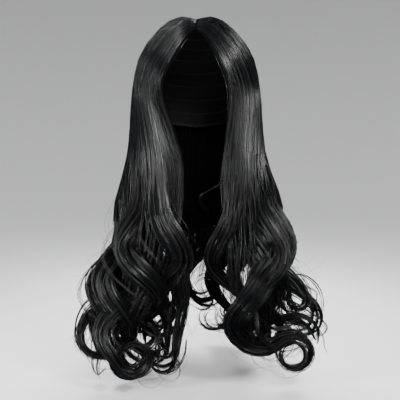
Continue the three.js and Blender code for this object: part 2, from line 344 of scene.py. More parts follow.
ZONES = (
    Zone(
        ZoneName.FRONT_LEFT, (-1, 0), (0, -1), (92, 116, 130), -335, 0,
        (
            (33, 37, 28, 27, 18, 4, -445, 8, -260, 300, 0.6, 0, 20, -330, 18, 12),
            (27, 48, 52, 46, 100, 14, -450, 30, -214, 290, 0.6, 0, 20, 300, 23, 21),
            (21, 60, 72, 74, 84, 6, -404, 30, -290, 250, 0.6, 0, 20, 330, 22, 21),
            (15, 70, 82, 90, 110, -6, -438, 24, -345, 260, 0.6, 0, 20, 330, 23, 21),
            (10, 80, 90, 103, 114, -16, -400, 32, -357, 280, 0.6, 0, 20, 240, 24, 12),
            (6, 88, 91, 100, 127, -28, -436, 28, -415, 300, 0.6, 0, 20, 150, 34, 12),
        ),
    ),
    Zone(
        ZoneName.SIDE_LEFT, (0, 1), (-1, 0), (90, 100, 106), -404, 16,
        (
            (0, 98, -42, -46, -50, 0, -408, 20, -300, 270, 0.6, 0, 20, 230, 24, 20),
            (-6, 109, -6, -10, -12, 1, -424, 20, -312, 270, 0.6, 0, 20, -240, 23, 20),
            (-13, 122, 34, 32, 32, -3, -412, 20, -298, 270, 0.6, 0, 20, 230, 24, 20),
        ),
    ),
    Zone(
        ZoneName.BACK, (1, 0), (0, 1), (92, 102, 108), -408, 16,
        (
            (-16, -138, -63, -74, -80, -6, -412, 20, -300, 270, 0.6, 0, 20, -230, 24, 20),
            (-20, -159, -33, -39, -42, 2, -428, 20, -314, 270, 0.6, 0, 20, 240, 23, 20),
            (-22, 180, 0, 0, 0, 6, -414, 20, -304, 270, 0.6, 0, 20, -250, 24, 20),
            (-20, 159, 33, 39, 42, 2, -430, 20, -313, 270, 0.6, 0, 20, 240, 24, 20),
            (-16, 138, 63, 74, 80, -6, -416, 20, -303, 270, 0.6, 0, 20, 230, 24, 20),
        ),
    ),
    Zone(
        ZoneName.SIDE_RIGHT, (0, 1), (1, 0), (90, 100, 106), -404, 16,
        (
            (-13, 122, 34, 32, 32, -3, -414, 20, -300, 270, 0.6, 0, 20, 230, 24, 20),
            (-6, 109, -6, -10, -12, 1, -426, 20, -312, 270, 0.6, 0, 20, -240, 23, 20),
            (0, 98, -42, -46, -50, 0, -408, 20, -305, 270, 0.6, 0, 20, 230, 24, 20),
        ),
    ),
    Zone(
        ZoneName.FRONT_RIGHT, (1, 0), (0, -1), (92, 116, 130), -335, 0,
        (
            (6, 88, 92, 110, 140, -24, -388, 34, -395, 270, 0.6, 0, 20, 250, 26, 12),
            (10, 80, 91, 108, 138, -14, -372, 26, -368, 250, 0.6, 0, 20, 350, 16, 13),
            (15, 70, 86, 98, 108, -6, -402, 28, -284, 260, 0.6, 0, 20, 330, 22, 21),
            (21, 60, 76, 84, 98, 4, -402, 26, -300, 260, 0.6, 0, 20, 300, 22, 21),
            (27, 48, 62, 66, 72, 14, -425, 21, -333, 240, 0.6, -90, 31, 340, 26, 20),
            (33, 36, 44, 44, 56, 10, -402, 26, -212, 290, 0.6, -110, 34, 40, 30, 12),
        ),
    ),
)


@dataclass
class LockLine:
    """The middle line of a lock or wisp, sampled where it bends.

    Fields are the points, the place along the guide in knots, the section's two axes, the share of the
    way from where the lock comes free to its tip, and the length from the root.
    """

    points: np.ndarray
    share: np.ndarray
    flat: np.ndarray
    deep: np.ndarray
    along: np.ndarray
    run: np.ndarray


@dataclass
class Curtain:
    """All the hair as one curtain round the head, in the order of the locks from left to right.

    Places along a lock's guide are counted in knots: 0 on the part, then where it leaves the head, the chin,
    the chest and the tip.
    """

    head: HeadForm = field(default_factory=HeadForm)
    zones: tuple[Zone, ...] = ZONES
    part_half_angle: float = 0.3
    back_fan: float = 0.065
    leave_polar: float = 88.0
    part_lift: float = 4.0
    sheet_lift: float = 11.0
    part_rise: float = 0.2
    part_dip: float = 2.3
    dip_share: float = 0.6
    inner_lift: float = 3.6
    outer: float = 5.0
    inner: float = 6.0
    edge: float = 0.5
    levels: tuple[float, float, float] = (-195.0, -310.0, -425.0)
    head_shares: tuple[float, ...] = (0.0, 0.18, 0.4, 0.7, 1.0)
    leave_knot: float = 4.0
    chin_knot: float = 5.0
    guide_reach: tuple[float, float, float] = (0.0, 9.0, 0.02)
    fewest_samples: int = 8
    root_thick: float = 0.2
    wave_start: float = -150.0
    wave_full: float = -340.0
    wave_tighten: float = 0.0036
    ripple_crest: float = -305.0
    ripple_pitch: float = 270.0
    ripple_roll: float = 0.6
    free_height: float = -186.0
    tail_step: float = 1.5
    tail_shrink: float = 0.3
    tail_share: float = 0.01

    def __post_init__(self) -> None:
        """Lists the locks in order with their zones."""
        self.locks = [(zone, lock) for zone in self.zones for lock in zone.locks]

    def head_ends(self, zone: Zone, lock: Lock) -> tuple[np.ndarray, np.ndarray]:
        """Finds where a lock starts on the part and where it leaves the head.

        Args:
            zone: the lock's zone.
            lock: the lock.

        Returns:
            Two unit directions from the centre of the head.
        """
        left = zone.name in (ZoneName.FRONT_LEFT, ZoneName.SIDE_LEFT) or lock.leave < 0
        side = -1.0 if left else 1.0
        azimuth = abs(lock.leave)
        lateral = side * self.part_half_angle
        if zone.name is ZoneName.BACK:
            lateral = side * (180.0 - azimuth) * self.back_fan
        leave = self.head.direction(side * azimuth, self.leave_polar)
        return self.head.part_direction(lock.root, lateral), leave

    def knots(self, zone: Zone, lock: Lock, depth: float) -> np.ndarray:
        """Finds the points that a lock's guide passes.

        Args:
            zone: the lock's zone.
            lock: the lock.
            depth: -1 on the inside of the sheet of hair, 1 on its outside.

        Returns:
            Eight points: five over the head, then the chin, chest and tip levels.
        """
        root, leave = self.head_ends(zone, lock)
        angle = math.acos(float(np.clip(root @ leave, -1, 1)))
        blend = (depth + 1.0) / 2.0
        points = []
        for share in self.head_shares:
            way = (math.sin((1 - share) * angle) * root + math.sin(share * angle) * leave) / math.sin(angle)
            rise = float(smooth(share / self.part_rise) + smooth(share)) / 2.0
            thick = self.root_thick + (1.0 - self.root_thick) * rise
            top = self.part_lift + (self.sheet_lift - self.part_lift) * rise + self.outer * thick
            points.append(self.head.point(unit(way), self.inner_lift + (top - self.inner_lift) * blend))
        across, out = zone.axes
        for i, height in enumerate(self.levels):
            stand = zone.stand[i] + lock.depth - self.inner + (self.inner + self.outer) * blend
            place = (lock.chin, lock.chest, lock.tip)[i]
            points.append(across * place + out * stand + np.array([0.0, 0.0, height]))
        return np.array(points)

    def sheet(self, index: int, share: np.ndarray, place: np.ndarray, depth: np.ndarray) -> np.ndarray:
        """Finds points of the smooth sheet of hair near a lock.

        Args:
            index: the lock, counted from the left of the face.
            share: places along the guide, in knots.
            place: for each strand, how far across from the lock, -0.5 to 0.5 of the way to the next.
            depth: for each strand, -1 inside to 1 outside.

        Returns:
            Points, a row for each strand.
        """
        near = []
        for other in (index - 1, index, index + 1):
            inside = 0 <= other < len(self.locks)
            faces = (-1.0, 1.0) if inside else ()
            near.append(np.array([spline(self.knots(*self.locks[other], d), share) for d in faces]))
        before, middle, after = near
        fade = (1.0 - smooth(share - self.chin_knot))[None, :, None] * 2 * self.edge
        if not before.size:
            before = middle - (after - middle) * fade
        if not after.size:
            after = middle - (before - middle) * fade
        slope, bend = (after - before) / 2.0, (after - 2.0 * middle + before) / 2.0
        s = place[:, None, None]
        w = (depth[:, None, None] + 1.0) / 2.0
        low, high = (middle[f] + s * slope[f] + s * s * bend[f] for f in (0, 1))
        points = low * (1.0 - w) + high * w
        dip = self.part_dip * (1.0 - smooth(share / self.dip_share))[None, :, None] * w
        own = self.locks[index][0]
        wave = self.ripple(own, points[..., 2])
        for other, side in ((index - 1, -s), (index + 1, s)):
            if 0 <= other < len(self.locks) and self.locks[other][0] is not own:
                theirs = self.ripple(self.locks[other][0], points[..., 2])
                wave = wave + smooth(2.0 * side) / 2.0 * (theirs - wave)
        return points - dip * self.head.normal(points) + wave

    def ripple(self, zone: Zone, height: np.ndarray) -> np.ndarray:
        """Works out the wave of a zone's sheet.

        Args:
            zone: the zone.
            height: levels of the points.

        Returns:
            Offsets for the points.
        """
        across, out = zone.axes
        swing = zone.ripple * self.ramp(height)
        turns = self.wave_turns(height, self.ripple_pitch)
        turns = 2 * np.pi * (turns - self.wave_turns(self.ripple_crest, self.ripple_pitch))
        sway, roll = (swing * np.cos(turns))[..., None], (swing * np.sin(turns))[..., None]
        return across * sway + out * self.ripple_roll * roll

    def ramp(self, height: np.ndarray) -> np.ndarray:
        """Grows the waves from nothing at the jaw to their full swing."""
        return smooth((self.wave_start - height) / (self.wave_start - self.wave_full)) ** 2

    def wave_turns(self, height: np.ndarray | float, pitch: float) -> np.ndarray:
        """Counts a wave's turns down to a height, for its pitch at the start, which tightens below."""
        depth = self.wave_start - height
        return (depth + self.wave_tighten / 2.0 * depth * depth) / pitch

    def line(self, zone: Zone, lock: Lock, step: float, turn: float) -> LockLine:
        """Lays out the middle line of a lock from the part to its tip.

        Args:
            zone: the lock's zone.
            lock: the lock, or a wisp's own version of it.
            step: longest way between samples.
            turn: most degrees that the line bends between samples.

        Returns:
            The sampled line.
        """
        across, out = zone.axes
        reach = np.arange(*self.guide_reach)
        guide = spline(self.knots(zone, lock, 0.0), reach)
        stop = int(np.argmax((guide[:, 2] < lock.end) & (reach > self.leave_knot)))
        guide, share = guide[:stop], reach[:stop]
        turns = self.wave_turns(guide[:, 2], lock.pitch) - self.wave_turns(lock.crest, lock.pitch)
        swing = (lock.swing * self.ramp(guide[:, 2]))[:, None]
        waved = guide + across * swing * np.cos(2 * np.pi * turns)[:, None]
        waved = waved + out * lock.roll * swing * np.sin(2 * np.pi * turns)[:, None]
        tail = self.tail(lock, waved, across, out)
        points = np.vstack([waved, tail])
        share = np.concatenate([share, share[-1] + np.arange(1, len(tail) + 1) * self.tail_share])
        way, flat, deep = line_axes(points, out)
        run = arc_lengths(points)
        free = run[int(np.argmax((points[:, 2] < self.free_height) & (share > self.leave_knot)))]
        along = np.clip((run - free) / (run[-1] - free), 0.0, 1.0)
        bends = np.degrees(np.arccos(np.clip(np.sum(way[1:] * way[:-1], axis=1), -1, 1)))
        spent = np.concatenate([[0.0], np.cumsum(np.diff(run) / step + bends / turn)])
        wanted = np.linspace(0, spent[-1], max(int(round(spent[-1])), self.fewest_samples) + 1)
        wanted = np.append(wanted, spent[int(np.searchsorted(share, self.dip_share / 2))])
        keep = np.unique(np.searchsorted(spent, wanted).clip(0, len(points) - 1))
        return LockLine(points[keep], share[keep], flat[keep], deep[keep], along[keep], run[keep])

    def tail(self, lock: Lock, line: np.ndarray, across: np.ndarray, out: np.ndarray) -> np.ndarray:
        """Adds the hook and curl at the end of a lock, two arcs in the plane of its wave.

        Args:
            lock: the lock.
            line: its line so far.
            across: the zone's direction along the curtain.
            out: the zone's direction away from the wearer.

        Returns:
            The tail's points.
        """
        way = line[-1] - line[-3]
        heading = math.atan2(-way[2], float(way @ across))
        point, points = line[-1].copy(), []
        arcs = ((lock.hook, lock.hook_radius, 0.0), (lock.curl, lock.curl_radius, self.tail_shrink))
        for turn, radius, shrink in arcs:
            steps = int(round(math.radians(abs(turn)) * radius / self.tail_step))
            for i in range(steps):
                heading += math.copysign(self.tail_step, turn) / (radius * (1.0 - shrink * i / steps))
                side = across * math.cos(heading) + out * lock.advance
                point = point + self.tail_step * (side - np.array([0.0, 0.0, math.sin(heading)]))
                points.append(point)
        return np.array(points).reshape(-1, 3)


@dataclass(frozen=True)
class Section:
    """How a lock's section swells and thins along it, in shares of its half width."""

    along: tuple[float, ...] = (0.0, 0.22, 0.45, 0.65, 0.8, 0.92, 1.0)
    flat: tuple[float, ...] = (0.6, 0.9, 1.0, 0.64, 0.38, 0.28, 0.14)
    deep: tuple[float, ...] = (0.35, 0.6, 0.7, 0.6, 0.48, 0.36, 0.16)

    def sizes(self, lock: Lock, along: np.ndarray) -> tuple[np.ndarray, np.ndarray]:
        """Finds a lock's half width and depth at shares of the way from where it comes free to its tip."""
        eased = np.interp(along, self.along, self.flat), np.interp(along, self.along, self.deep)
        return lock.wide * eased[0], lock.wide * eased[1]


@dataclass
class StrandMesh:
    """A mesh of many closed three-sided strands, with a strip of the bake map for each.

    A strip's start and size, across and along, and the room for a strand's two ends are in shares of a cell.
    """

    name: str
    rings: list[np.ndarray] = field(default_factory=list)
    tones: list[float] = field(default_factory=list)
    corners: tuple[float, float, float] = (90.0, 210.0, 330.0)
    map_rows: int = 3
    strip_across: tuple[float, float] = (0.06, 0.88)
    strip_along: tuple[float, float] = (0.02, 0.94)
    strip_ends: tuple[float, float] = (0.01, 0.02)

    def add(self, paths: np.ndarray, radius: np.ndarray, tone: np.ndarray, lean: np.ndarray) -> None:
        """Adds strands that have the same number of points.

        Args:
            paths: points in millimetres, a row of them for each strand.
            radius: half thickness at each point.
            tone: a number for each strand, which its finish reads.
            lean: direction that a strand's first corner points to.
        """
        way = unit(np.gradient(paths, axis=1))
        first = unit(lean - np.sum(way * lean, axis=-1, keepdims=True) * way)
        second = np.cross(way, first)
        angles = np.radians(self.corners)
        ring = first[:, :, None] * np.cos(angles)[:, None] + second[:, :, None] * np.sin(angles)[:, None]
        verts = paths[:, :, None] + ring * radius[:, :, None, None]
        self.rings.extend(verts)
        self.tones.extend(tone)

    @property
    def triangles(self) -> int:
        """How many triangles the strands have in all."""
        return sum(6 * (len(ring) - 1) + 2 for ring in self.rings)

    def build(self, material: bpy.types.Material) -> bpy.types.Object:
        """Makes the mesh object.

        Args:
            material: finish of every strand.

        Returns:
            The new object, linked to the scene.
        """
        counts = np.array([len(ring) for ring in self.rings])
        starts = np.concatenate([[0], np.cumsum(counts * 3)])
        verts = np.concatenate([ring.reshape(-1, 3) for ring in self.rings]) * MM
        columns = math.ceil(len(self.rings) / self.map_rows)
        quads, quad_map, ends, end_map = [], [], [], []
        near, far = np.array([0, 1, 2]), np.array([1, 2, 0])
        (left, wide), (foot, tall) = self.strip_across, self.strip_along
        before, after = (room / self.map_rows for room in self.strip_ends)
        for i, count in enumerate(counts):
            step = starts[i] + np.arange(count - 1)[:, None] * 3
            low, high = step + near, step + far
            quads.append(np.stack([low, high, high + 3, low + 3], axis=-1).reshape(-1, 4))
            u = (i % columns + left + wide * np.arange(4) / 3) / columns
            v = (i // columns + foot + tall * np.arange(count) / (count - 1)) / self.map_rows
            corners = [(u[:-1], v[:-1]), (u[1:], v[:-1]), (u[1:], v[1:]), (u[:-1], v[1:])]
            strips = [np.stack(np.broadcast_arrays(a[None, :], b[:, None]), axis=-1) for a, b in corners]
            quad_map.append(np.stack(strips, axis=2).reshape(-1, 4, 2))
            last = starts[i] + (count - 1) * 3
            ends.append([[starts[i], starts[i] + 2, starts[i] + 1], [last, last + 1, last + 2]])
            tip = [(u[0], v[-1]), (u[3], v[-1]), (u[1], v[-1] + after)]
            base = [(u[0], v[0]), (u[1], v[0] - before), (u[3], v[0])]
            end_map.append([base, tip])
        ends, end_map = np.array(ends).reshape(-1, 3), np.array(end_map).reshape(-1, 3, 2)
        mesh = mesh_from_arrays(self.name, verts, np.concatenate(quads), ends)
        layer = mesh.uv_layers.new(name=BAKE_MAP)
        flat_map = np.concatenate([np.concatenate(quad_map).ravel(), end_map.ravel()])
        layer.uv.foreach_set("vector", flat_map.astype(np.float32))
        add_attribute(mesh, "strand_tone", np.repeat(np.array(self.tones), counts * 3))
        runs = np.concatenate([np.repeat(np.linspace(0, 1, count), 3) for count in counts])
        add_attribute(mesh, "strand_run", runs)
        return link_mesh(mesh, material)


@dataclass
class LoftMesh:
    """A mesh of closed lofts, each a row of rings with its ends shut, and flow numbers for its finish."""

    name: str
    verts: list[np.ndarray] = field(default_factory=list)
    quads: list[np.ndarray] = field(default_factory=list)
    flows: list[np.ndarray] = field(default_factory=list)
    count: int = 0
    apart: float = 7.3

    def add(self, rings: np.ndarray, runs: np.ndarray, turns: np.ndarray, loop: bool = False) -> None:
        """Adds a loft whose rings have an even number of points.

        Args:
            rings: points in millimetres, a ring in each row.
            runs: length along the loft at each ring, for the finish.
            turns: place round the ring of each point, for the finish.
            loop: whether the last ring joins the first, with no ends.
        """
        rows, sides = rings.shape[:2]
        here = np.arange(rows if loop else rows - 1)[:, None] * sides
        near, far = np.arange(sides), (np.arange(sides) + 1) % sides
        up = (here + sides) % (rows * sides)
        faces = [np.stack([here + near, here + far, up + far, up + near], axis=-1).reshape(-1, 4)]
        if not loop:
            pair = np.arange(sides // 2 - 1)
            cap = np.stack([pair, sides - 1 - pair, sides - 2 - pair, pair + 1], axis=-1)
            faces += [cap, (rows - 1) * sides + cap[:, ::-1]]
        quads, points = np.concatenate(faces), rings.reshape(-1, 3)
        a, b, c, d = (points[quads[:, i]] - points.mean(axis=0) for i in range(4))
        volume = np.sum(a * np.cross(b, c)) + np.sum(a * np.cross(c, d))
        self.quads.append(self.count + (quads if volume > 0 else quads[:, ::-1]))
        self.verts.append(points)
        flow = np.zeros((rows, sides, 3))
        flow[..., 0], flow[..., 1], flow[..., 2] = turns[None], runs[:, None], len(self.verts) * self.apart
        self.flows.append(flow.reshape(-1, 3))
        self.count += rows * sides

    @property
    def triangles(self) -> int:
        """How many triangles the lofts have in all."""
        return 2 * sum(len(quads) for quads in self.quads)

    def build(self, material: bpy.types.Material) -> bpy.types.Object:
        """Makes the mesh object.

        Args:
            material: finish of every loft.

        Returns:
            The new object, linked to the scene.
        """
        none = np.zeros((0, 3), int)
        mesh = mesh_from_arrays(self.name, np.concatenate(self.verts) * MM, np.concatenate(self.quads), none)
        add_attribute(mesh, "flow", np.concatenate(self.flows))
        return link_mesh(mesh, material)


@dataclass(frozen=True)
class StreakGroup:
    """A node group of long soft streaks, which several finishes use at their own scale."""

    name: str = "streaks"
    detail: float = 3.0

    def tree(self) -> bpy.types.NodeTree:
        """Makes the group once, or finds it.

        Returns:
            The group's nodes.
        """
        if self.name in bpy.data.node_groups:
            return bpy.data.node_groups[self.name]
        tree = bpy.data.node_groups.new(self.name, "ShaderNodeTree")
        for name, kind in (("Flow", "Vector"), ("Across", "Float"), ("Along", "Float")):
            tree.interface.new_socket(name, in_out="INPUT", socket_type="NodeSocket" + kind)
        tree.interface.new_socket("Streak", in_out="OUTPUT", socket_type="NodeSocketFloat")
        source, target = tree.nodes.new("NodeGroupInput"), tree.nodes.new("NodeGroupOutput")
        scales = {"X": source.outputs["Across"], "Y": source.outputs["Along"], "Z": 1.0}
        scale = add_node(tree, "ShaderNodeCombineXYZ", scales)
        factors = {0: source.outputs["Flow"], 1: scale.outputs["Vector"]}
        stretch = add_node(tree, "ShaderNodeVectorMath", factors, operation="MULTIPLY")
        grain = {"Vector": stretch.outputs["Vector"], "Scale": 1.0, "Detail": self.detail}
        noise = add_node(tree, "ShaderNodeTexNoise", grain)
        tree.links.new(noise.outputs["Fac"], target.inputs["Streak"])
        return tree

    def place(self, tree: bpy.types.NodeTree, flow: bpy.types.NodeSocket, across: float,
              along: float) -> bpy.types.NodeSocket:
        """Puts the group in a material, at scales across and along a flow, and gives its value, 0 to 1."""
        inputs = {"Flow": flow, "Across": across, "Along": along}
        return add_node(tree, "ShaderNodeGroup", inputs, node_tree=self.tree()).outputs["Streak"]


@dataclass(frozen=True)
class Finish:
    """A finish of two tones and a range of roughness, which a pattern of its own steers."""

    name: str
    dark: tuple[float, float, float]
    light: tuple[float, float, float]
    roughness: tuple[float, float]
    specular: float
    bump: float = 0.0

    def pattern(self, tree: bpy.types.NodeTree) -> bpy.types.NodeSocket:
        """Builds the value from 0 to 1 that steers the finish."""
        raise NotImplementedError

    def material(self) -> bpy.types.Material:
        """Makes the material once, or finds it.

        Returns:
            The material.
        """
        if self.name in bpy.data.materials:
            return bpy.data.materials[self.name]
        material = bpy.data.materials.new(self.name)
        material.use_nodes = True
        tree = material.node_tree
        shader = tree.nodes["Principled BSDF"]
        shader.inputs["Specular IOR Level"].default_value = self.specular
        value, (smoothest, roughest) = self.pattern(tree), self.roughness
        tones = {"A": (*self.dark, 1.0), "B": (*self.light, 1.0), "Factor": value}
        colour = add_node(tree, "ShaderNodeMix", tones, data_type="RGBA")
        tree.links.new(colour.outputs["Result"], shader.inputs["Base Color"])
        span = {"Value": value, "To Min": smoothest, "To Max": roughest}
        rough = add_node(tree, "ShaderNodeMapRange", span)
        tree.links.new(rough.outputs["Result"], shader.inputs["Roughness"])
        if self.bump > 0:
            relief = {"Height": value, "Strength": self.bump, "Distance": MM}
            bump = add_node(tree, "ShaderNodeBump", relief)
            tree.links.new(bump.outputs["Normal"], shader.inputs["Normal"])
        return material

    def attribute(self, tree: bpy.types.NodeTree, name: str, output: str) -> bpy.types.NodeSocket:
        """Adds a node that reads a mesh attribute, and gives one of its outputs."""
        return add_node(tree, "ShaderNodeAttribute", attribute_name=name).outputs[output]

    def join(self, tree: bpy.types.NodeTree, how: str, first: bpy.types.NodeSocket,
             second: bpy.types.NodeSocket | float) -> bpy.types.NodeSocket:
        """Adds a node of arithmetic, and gives its result, kept between 0 and 1."""
        node = add_node(tree, "ShaderNodeMath", {0: first, 1: second}, operation=how, use_clamp=True)
        return node.outputs["Value"]


@dataclass(frozen=True)
class FibreFinish(Finish):
    """Glossy near black fibre, each strand with a tone of its own that drifts along it."""

    name: str = "hair_fibre"
    dark: tuple[float, float, float] = (0.0008, 0.0008, 0.001)
    light: tuple[float, float, float] = (0.006, 0.006, 0.0072)
    roughness: tuple[float, float] = (0.1, 0.46)
    specular: float = 0.5
    drift: float = 14.0
    streak_across: float = 60.0
    streak_low: float = 0.25
    gain: float = 0.8
    root: float = 0.03

    def pattern(self, tree: bpy.types.NodeTree) -> bpy.types.NodeSocket:
        """Mixes the strand's tone with a drift along it, duller at the root.

        Args:
            tree: the material's nodes.

        Returns:
            The value's socket.
        """
        tone, run = (self.attribute(tree, name, "Fac") for name in ("strand_tone", "strand_run"))
        flow = add_node(tree, "ShaderNodeCombineXYZ", {"X": tone, "Y": run})
        streak = StreakGroup().place(tree, flow.outputs["Vector"], self.streak_across, self.drift)
        low = self.join(tree, "SUBTRACT", streak, self.streak_low)
        shade = self.join(tree, "MULTIPLY", self.join(tree, "ADD", tone, low), self.gain)
        fall = {"Value": run, "From Max": self.root, "To Min": 1.0, "To Max": 0.0}
        return self.join(tree, "ADD", shade, add_node(tree, "ShaderNodeMapRange", fall).outputs["Result"])


@dataclass(frozen=True)
class MassFinish(Finish):
    """The dark mass of hair behind the outer strands, streaked along its flow."""

    name: str = "hair_mass"
    dark: tuple[float, float, float] = (0.0008, 0.0008, 0.001)
    light: tuple[float, float, float] = (0.0024, 0.0024, 0.003)
    roughness: tuple[float, float] = (0.6, 0.85)
    specular: float = 0.12
    bump: float = 0.7
    across: float = 2.2
    along: float = 0.02

    def pattern(self, tree: bpy.types.NodeTree) -> bpy.types.NodeSocket:
        """Runs fine streaks down the hair."""
        return StreakGroup().place(tree, self.attribute(tree, "flow", "Vector"), self.across, self.along)


@dataclass(frozen=True)
class NetFinish(Finish):
    """Dark elastic net, small cells between threads."""

    name: str = "cap_net"
    dark: tuple[float, float, float] = (0.1, 0.095, 0.09)
    light: tuple[float, float, float] = (0.018, 0.017, 0.016)
    roughness: tuple[float, float] = (0.62, 0.85)
    specular: float = 0.3
    bump: float = 0.6
    cell: float = 2.4
    uneven: float = 0.35
    thread: float = 5.0

    def pattern(self, tree: bpy.types.NodeTree) -> bpy.types.NodeSocket:
        """Lays out the cells: 0 on a thread, 1 in a cell.

        Args:
            tree: the material's nodes.

        Returns:
            The value's socket.
        """
        flow = self.attribute(tree, "flow", "Vector")
        layout = {"Vector": flow, "Scale": 1.0 / self.cell, "Randomness": self.uneven}
        cells = add_node(tree, "ShaderNodeTexVoronoi", layout, feature="DISTANCE_TO_EDGE")
        return self.join(tree, "MULTIPLY", cells.outputs["Distance"], self.thread)


@dataclass(frozen=True)
class BandFinish(Finish):
    """Woven band and sewn rows of the cap, with fine ribs across them."""

    name: str = "cap_band"
    dark: tuple[float, float, float] = (0.012, 0.0115, 0.011)
    light: tuple[float, float, float] = (0.06, 0.057, 0.054)
    roughness: tuple[float, float] = (0.9, 0.7)
    specular: float = 0.3
    bump: float = 0.5
    ribs: float = 0.32
    wobble: float = 0.6
    across: float = 0.8
    along: float = 0.3
    lift: float = 0.35

    def pattern(self, tree: bpy.types.NodeTree) -> bpy.types.NodeSocket:
        """Sets ribs across the band, with streaks that break them up.

        Args:
            tree: the material's nodes.

        Returns:
            The value's socket.
        """
        flow = self.attribute(tree, "flow", "Vector")
        weave = {"Vector": flow, "Scale": self.ribs, "Distortion": self.wobble}
        ribs = add_node(tree, "ShaderNodeTexWave", weave, bands_direction="Y")
        streak = StreakGroup().place(tree, flow, self.across, self.along)
        return self.join(tree, "MULTIPLY", ribs.outputs["Fac"], self.join(tree, "ADD", streak, self.lift))


@dataclass(frozen=True)
class PaperFinish(Finish):
    """Pale seamless paper, with painted shade that darkens it away from the wig."""

    name: str = "floor_paper"
    # The first tone is the paper's own; the second is painted shade, for the lamps' light falling off far
    # from the wig.
    dark: tuple[float, float, float] = (0.9, 0.9, 0.9)
    light: tuple[float, float, float] = (0.44, 0.44, 0.444)
    roughness: tuple[float, float] = (0.7, 0.8)
    specular: float = 0.2
    near: float = 0.6
    far: float = 2.4
    curve: float = 1.9

    def pattern(self, tree: bpy.types.NodeTree) -> bpy.types.NodeSocket:
        """Paints shade on the paper by its distance from the wig's axis.

        Args:
            tree: the material's nodes.

        Returns:
            The value's socket.
        """
        place = add_node(tree, "ShaderNodeTexCoord").outputs["Object"]
        level = add_node(tree, "ShaderNodeVectorMath", {0: place, 1: (1.0, 1.0, 0.0)}, operation="MULTIPLY")
        length = add_node(tree, "ShaderNodeVectorMath", {0: level.outputs["Vector"]}, operation="LENGTH")
        span = {"Value": length.outputs["Value"], "From Min": self.near, "From Max": self.far}
        # Painted shade: the paper darkens from near to far round the wig.
        painted_falloff = add_node(tree, "ShaderNodeMapRange", span)
        return self.join(tree, "POWER", painted_falloff.outputs["Result"], self.curve)


@dataclass
class Cap:
    """The hollow cap: a net shell, a band along its edge, and sewn rows inside."""

    head: HeadForm = field(default_factory=HeadForm)
    rim_azimuth: tuple[float, ...] = (0, 12, 26, 38, 58, 86, 112, 145, 180)
    rim_polar: tuple[float, ...] = (34, 40, 58, 80, 96, 90, 99, 115, 118)
    columns: int = 96
    rows: int = 24
    shell_lifts: tuple[float, float] = (0.3, 1.8)
    edge_inset: float = 2.0
    edge_lift: float = 1.0
    edge_size: tuple[float, float] = (3.0, 1.2)
    edge_sides: int = 10
    row_shares: tuple[float, ...] = (0.2, 0.3, 0.4, 0.5, 0.6, 0.7, 0.8, 0.9)
    row_lift: float = 0.1
    row_size: tuple[float, float] = (1.5, 0.8)
    row_sides: int = 6
    slope_step: float = 0.5

    def rim(self, azimuth: np.ndarray) -> np.ndarray:
        """Finds how many degrees down from the crown the cap reaches, by degrees round from the face."""
        return np.interp(180.0 - np.abs(180.0 - azimuth % 360.0), self.rim_azimuth, self.rim_polar)

    @property
    def round(self) -> np.ndarray:
        """Azimuths of the columns."""
        return np.arange(self.columns) * 360.0 / self.columns

    def shell(self, finish: Finish) -> bpy.types.Object:
        """Builds the net shell, with its outside and inside joined at the edge.

        Args:
            finish: the net.

        Returns:
            The new piece.
        """
        azimuth, wide = self.round, self.columns
        polar = np.arange(1, self.rows + 1)[:, None] / self.rows * self.rim(azimuth)
        ways = self.head.direction(azimuth + 0 * polar, polar)
        top = self.head.direction(0.0, 0.0)
        inner, outer = self.shell_lifts
        size = self.rows * wide
        verts = [self.head.point(ways, lift).reshape(-1, 3) for lift in (outer, inner)]
        verts += [self.head.point(top, lift)[None] for lift in (outer, inner)]
        here, last = np.arange(wide), size - wide
        then = (here + 1) % wide
        outside = ring_quads(self.rows, wide)
        edge = np.stack([last + here, size + last + here, size + last + then, last + then], axis=-1)
        quads = np.concatenate([outside, size + outside[:, ::-1], edge])
        crown = np.stack([np.full(wide, 2 * size), here, then], axis=-1)
        below = np.stack([np.full(wide, 2 * size + 1), size + then, size + here], axis=-1)
        tris = np.concatenate([crown, below])
        mesh = mesh_from_arrays("cap_shell", np.concatenate(verts) * MM, quads, tris)
        arc = np.radians(polar) * self.head.half_depth
        span = np.radians(azimuth) * np.sin(np.radians(polar)) * self.head.half_depth
        grid = np.stack([span, arc, 0 * arc], axis=-1).reshape(-1, 3)
        add_attribute(mesh, "flow", np.concatenate([grid, grid, np.zeros((2, 3))]))
        return link_mesh(mesh, finish.material())

    def band(self, polar: np.ndarray, lift: float, size: tuple[float, float], sides: int,
             mesh: LoftMesh) -> None:
        """Adds a closed band that runs round the cap.

        Args:
            polar: where it runs, for each column.
            lift: height of its middle over the head.
            size: half width and half thickness.
            sides: sides of its section.
            mesh: where it goes.
        """
        middle = self.head.direction(self.round, polar)
        points = self.head.point(middle, lift)
        down = self.head.point(self.head.direction(self.round, polar + self.slope_step), lift)
        axes = unit(down - points), unit(middle / self.head.scale)
        angles = (np.arange(sides) + 0.5) / sides * 2 * np.pi
        rings = oval_rings(points, axes, tuple(np.full(self.columns, half) for half in size), angles)
        mesh.add(rings, arc_lengths(rings[:, 0]), np.arange(sides) * 1.0, loop=True)

    def build(self, net: Finish, woven: Finish) -> list[bpy.types.Object]:
        """Builds the cap.

        Args:
            net: finish of the shell.
            woven: finish of the band and the sewn rows.

        Returns:
            The new pieces.
        """
        edge, rows = LoftMesh("cap_edge_band"), LoftMesh("cap_sewn_rows")
        inset = math.degrees(self.edge_inset / self.head.half_depth)
        self.band(self.rim(self.round) - inset, self.edge_lift, self.edge_size, self.edge_sides, edge)
        for share in self.row_shares:
            self.band(self.rim(self.round) * share, self.row_lift, self.row_size, self.row_sides, rows)
        return [self.shell(net), edge.build(woven.material()), rows.build(woven.material())]


@dataclass(frozen=True)
class StrandStyle:
    """How strands lie: their depth, looseness, thickness and clumps, and how much length they keep."""

    depth: float
    loose: float = 1.0
    thick: float = 1.0
    clump: int = 5
    gather: float = 0.6
    relief: float = 0.24
    keep: float = 0.82
    most: float = 1.0


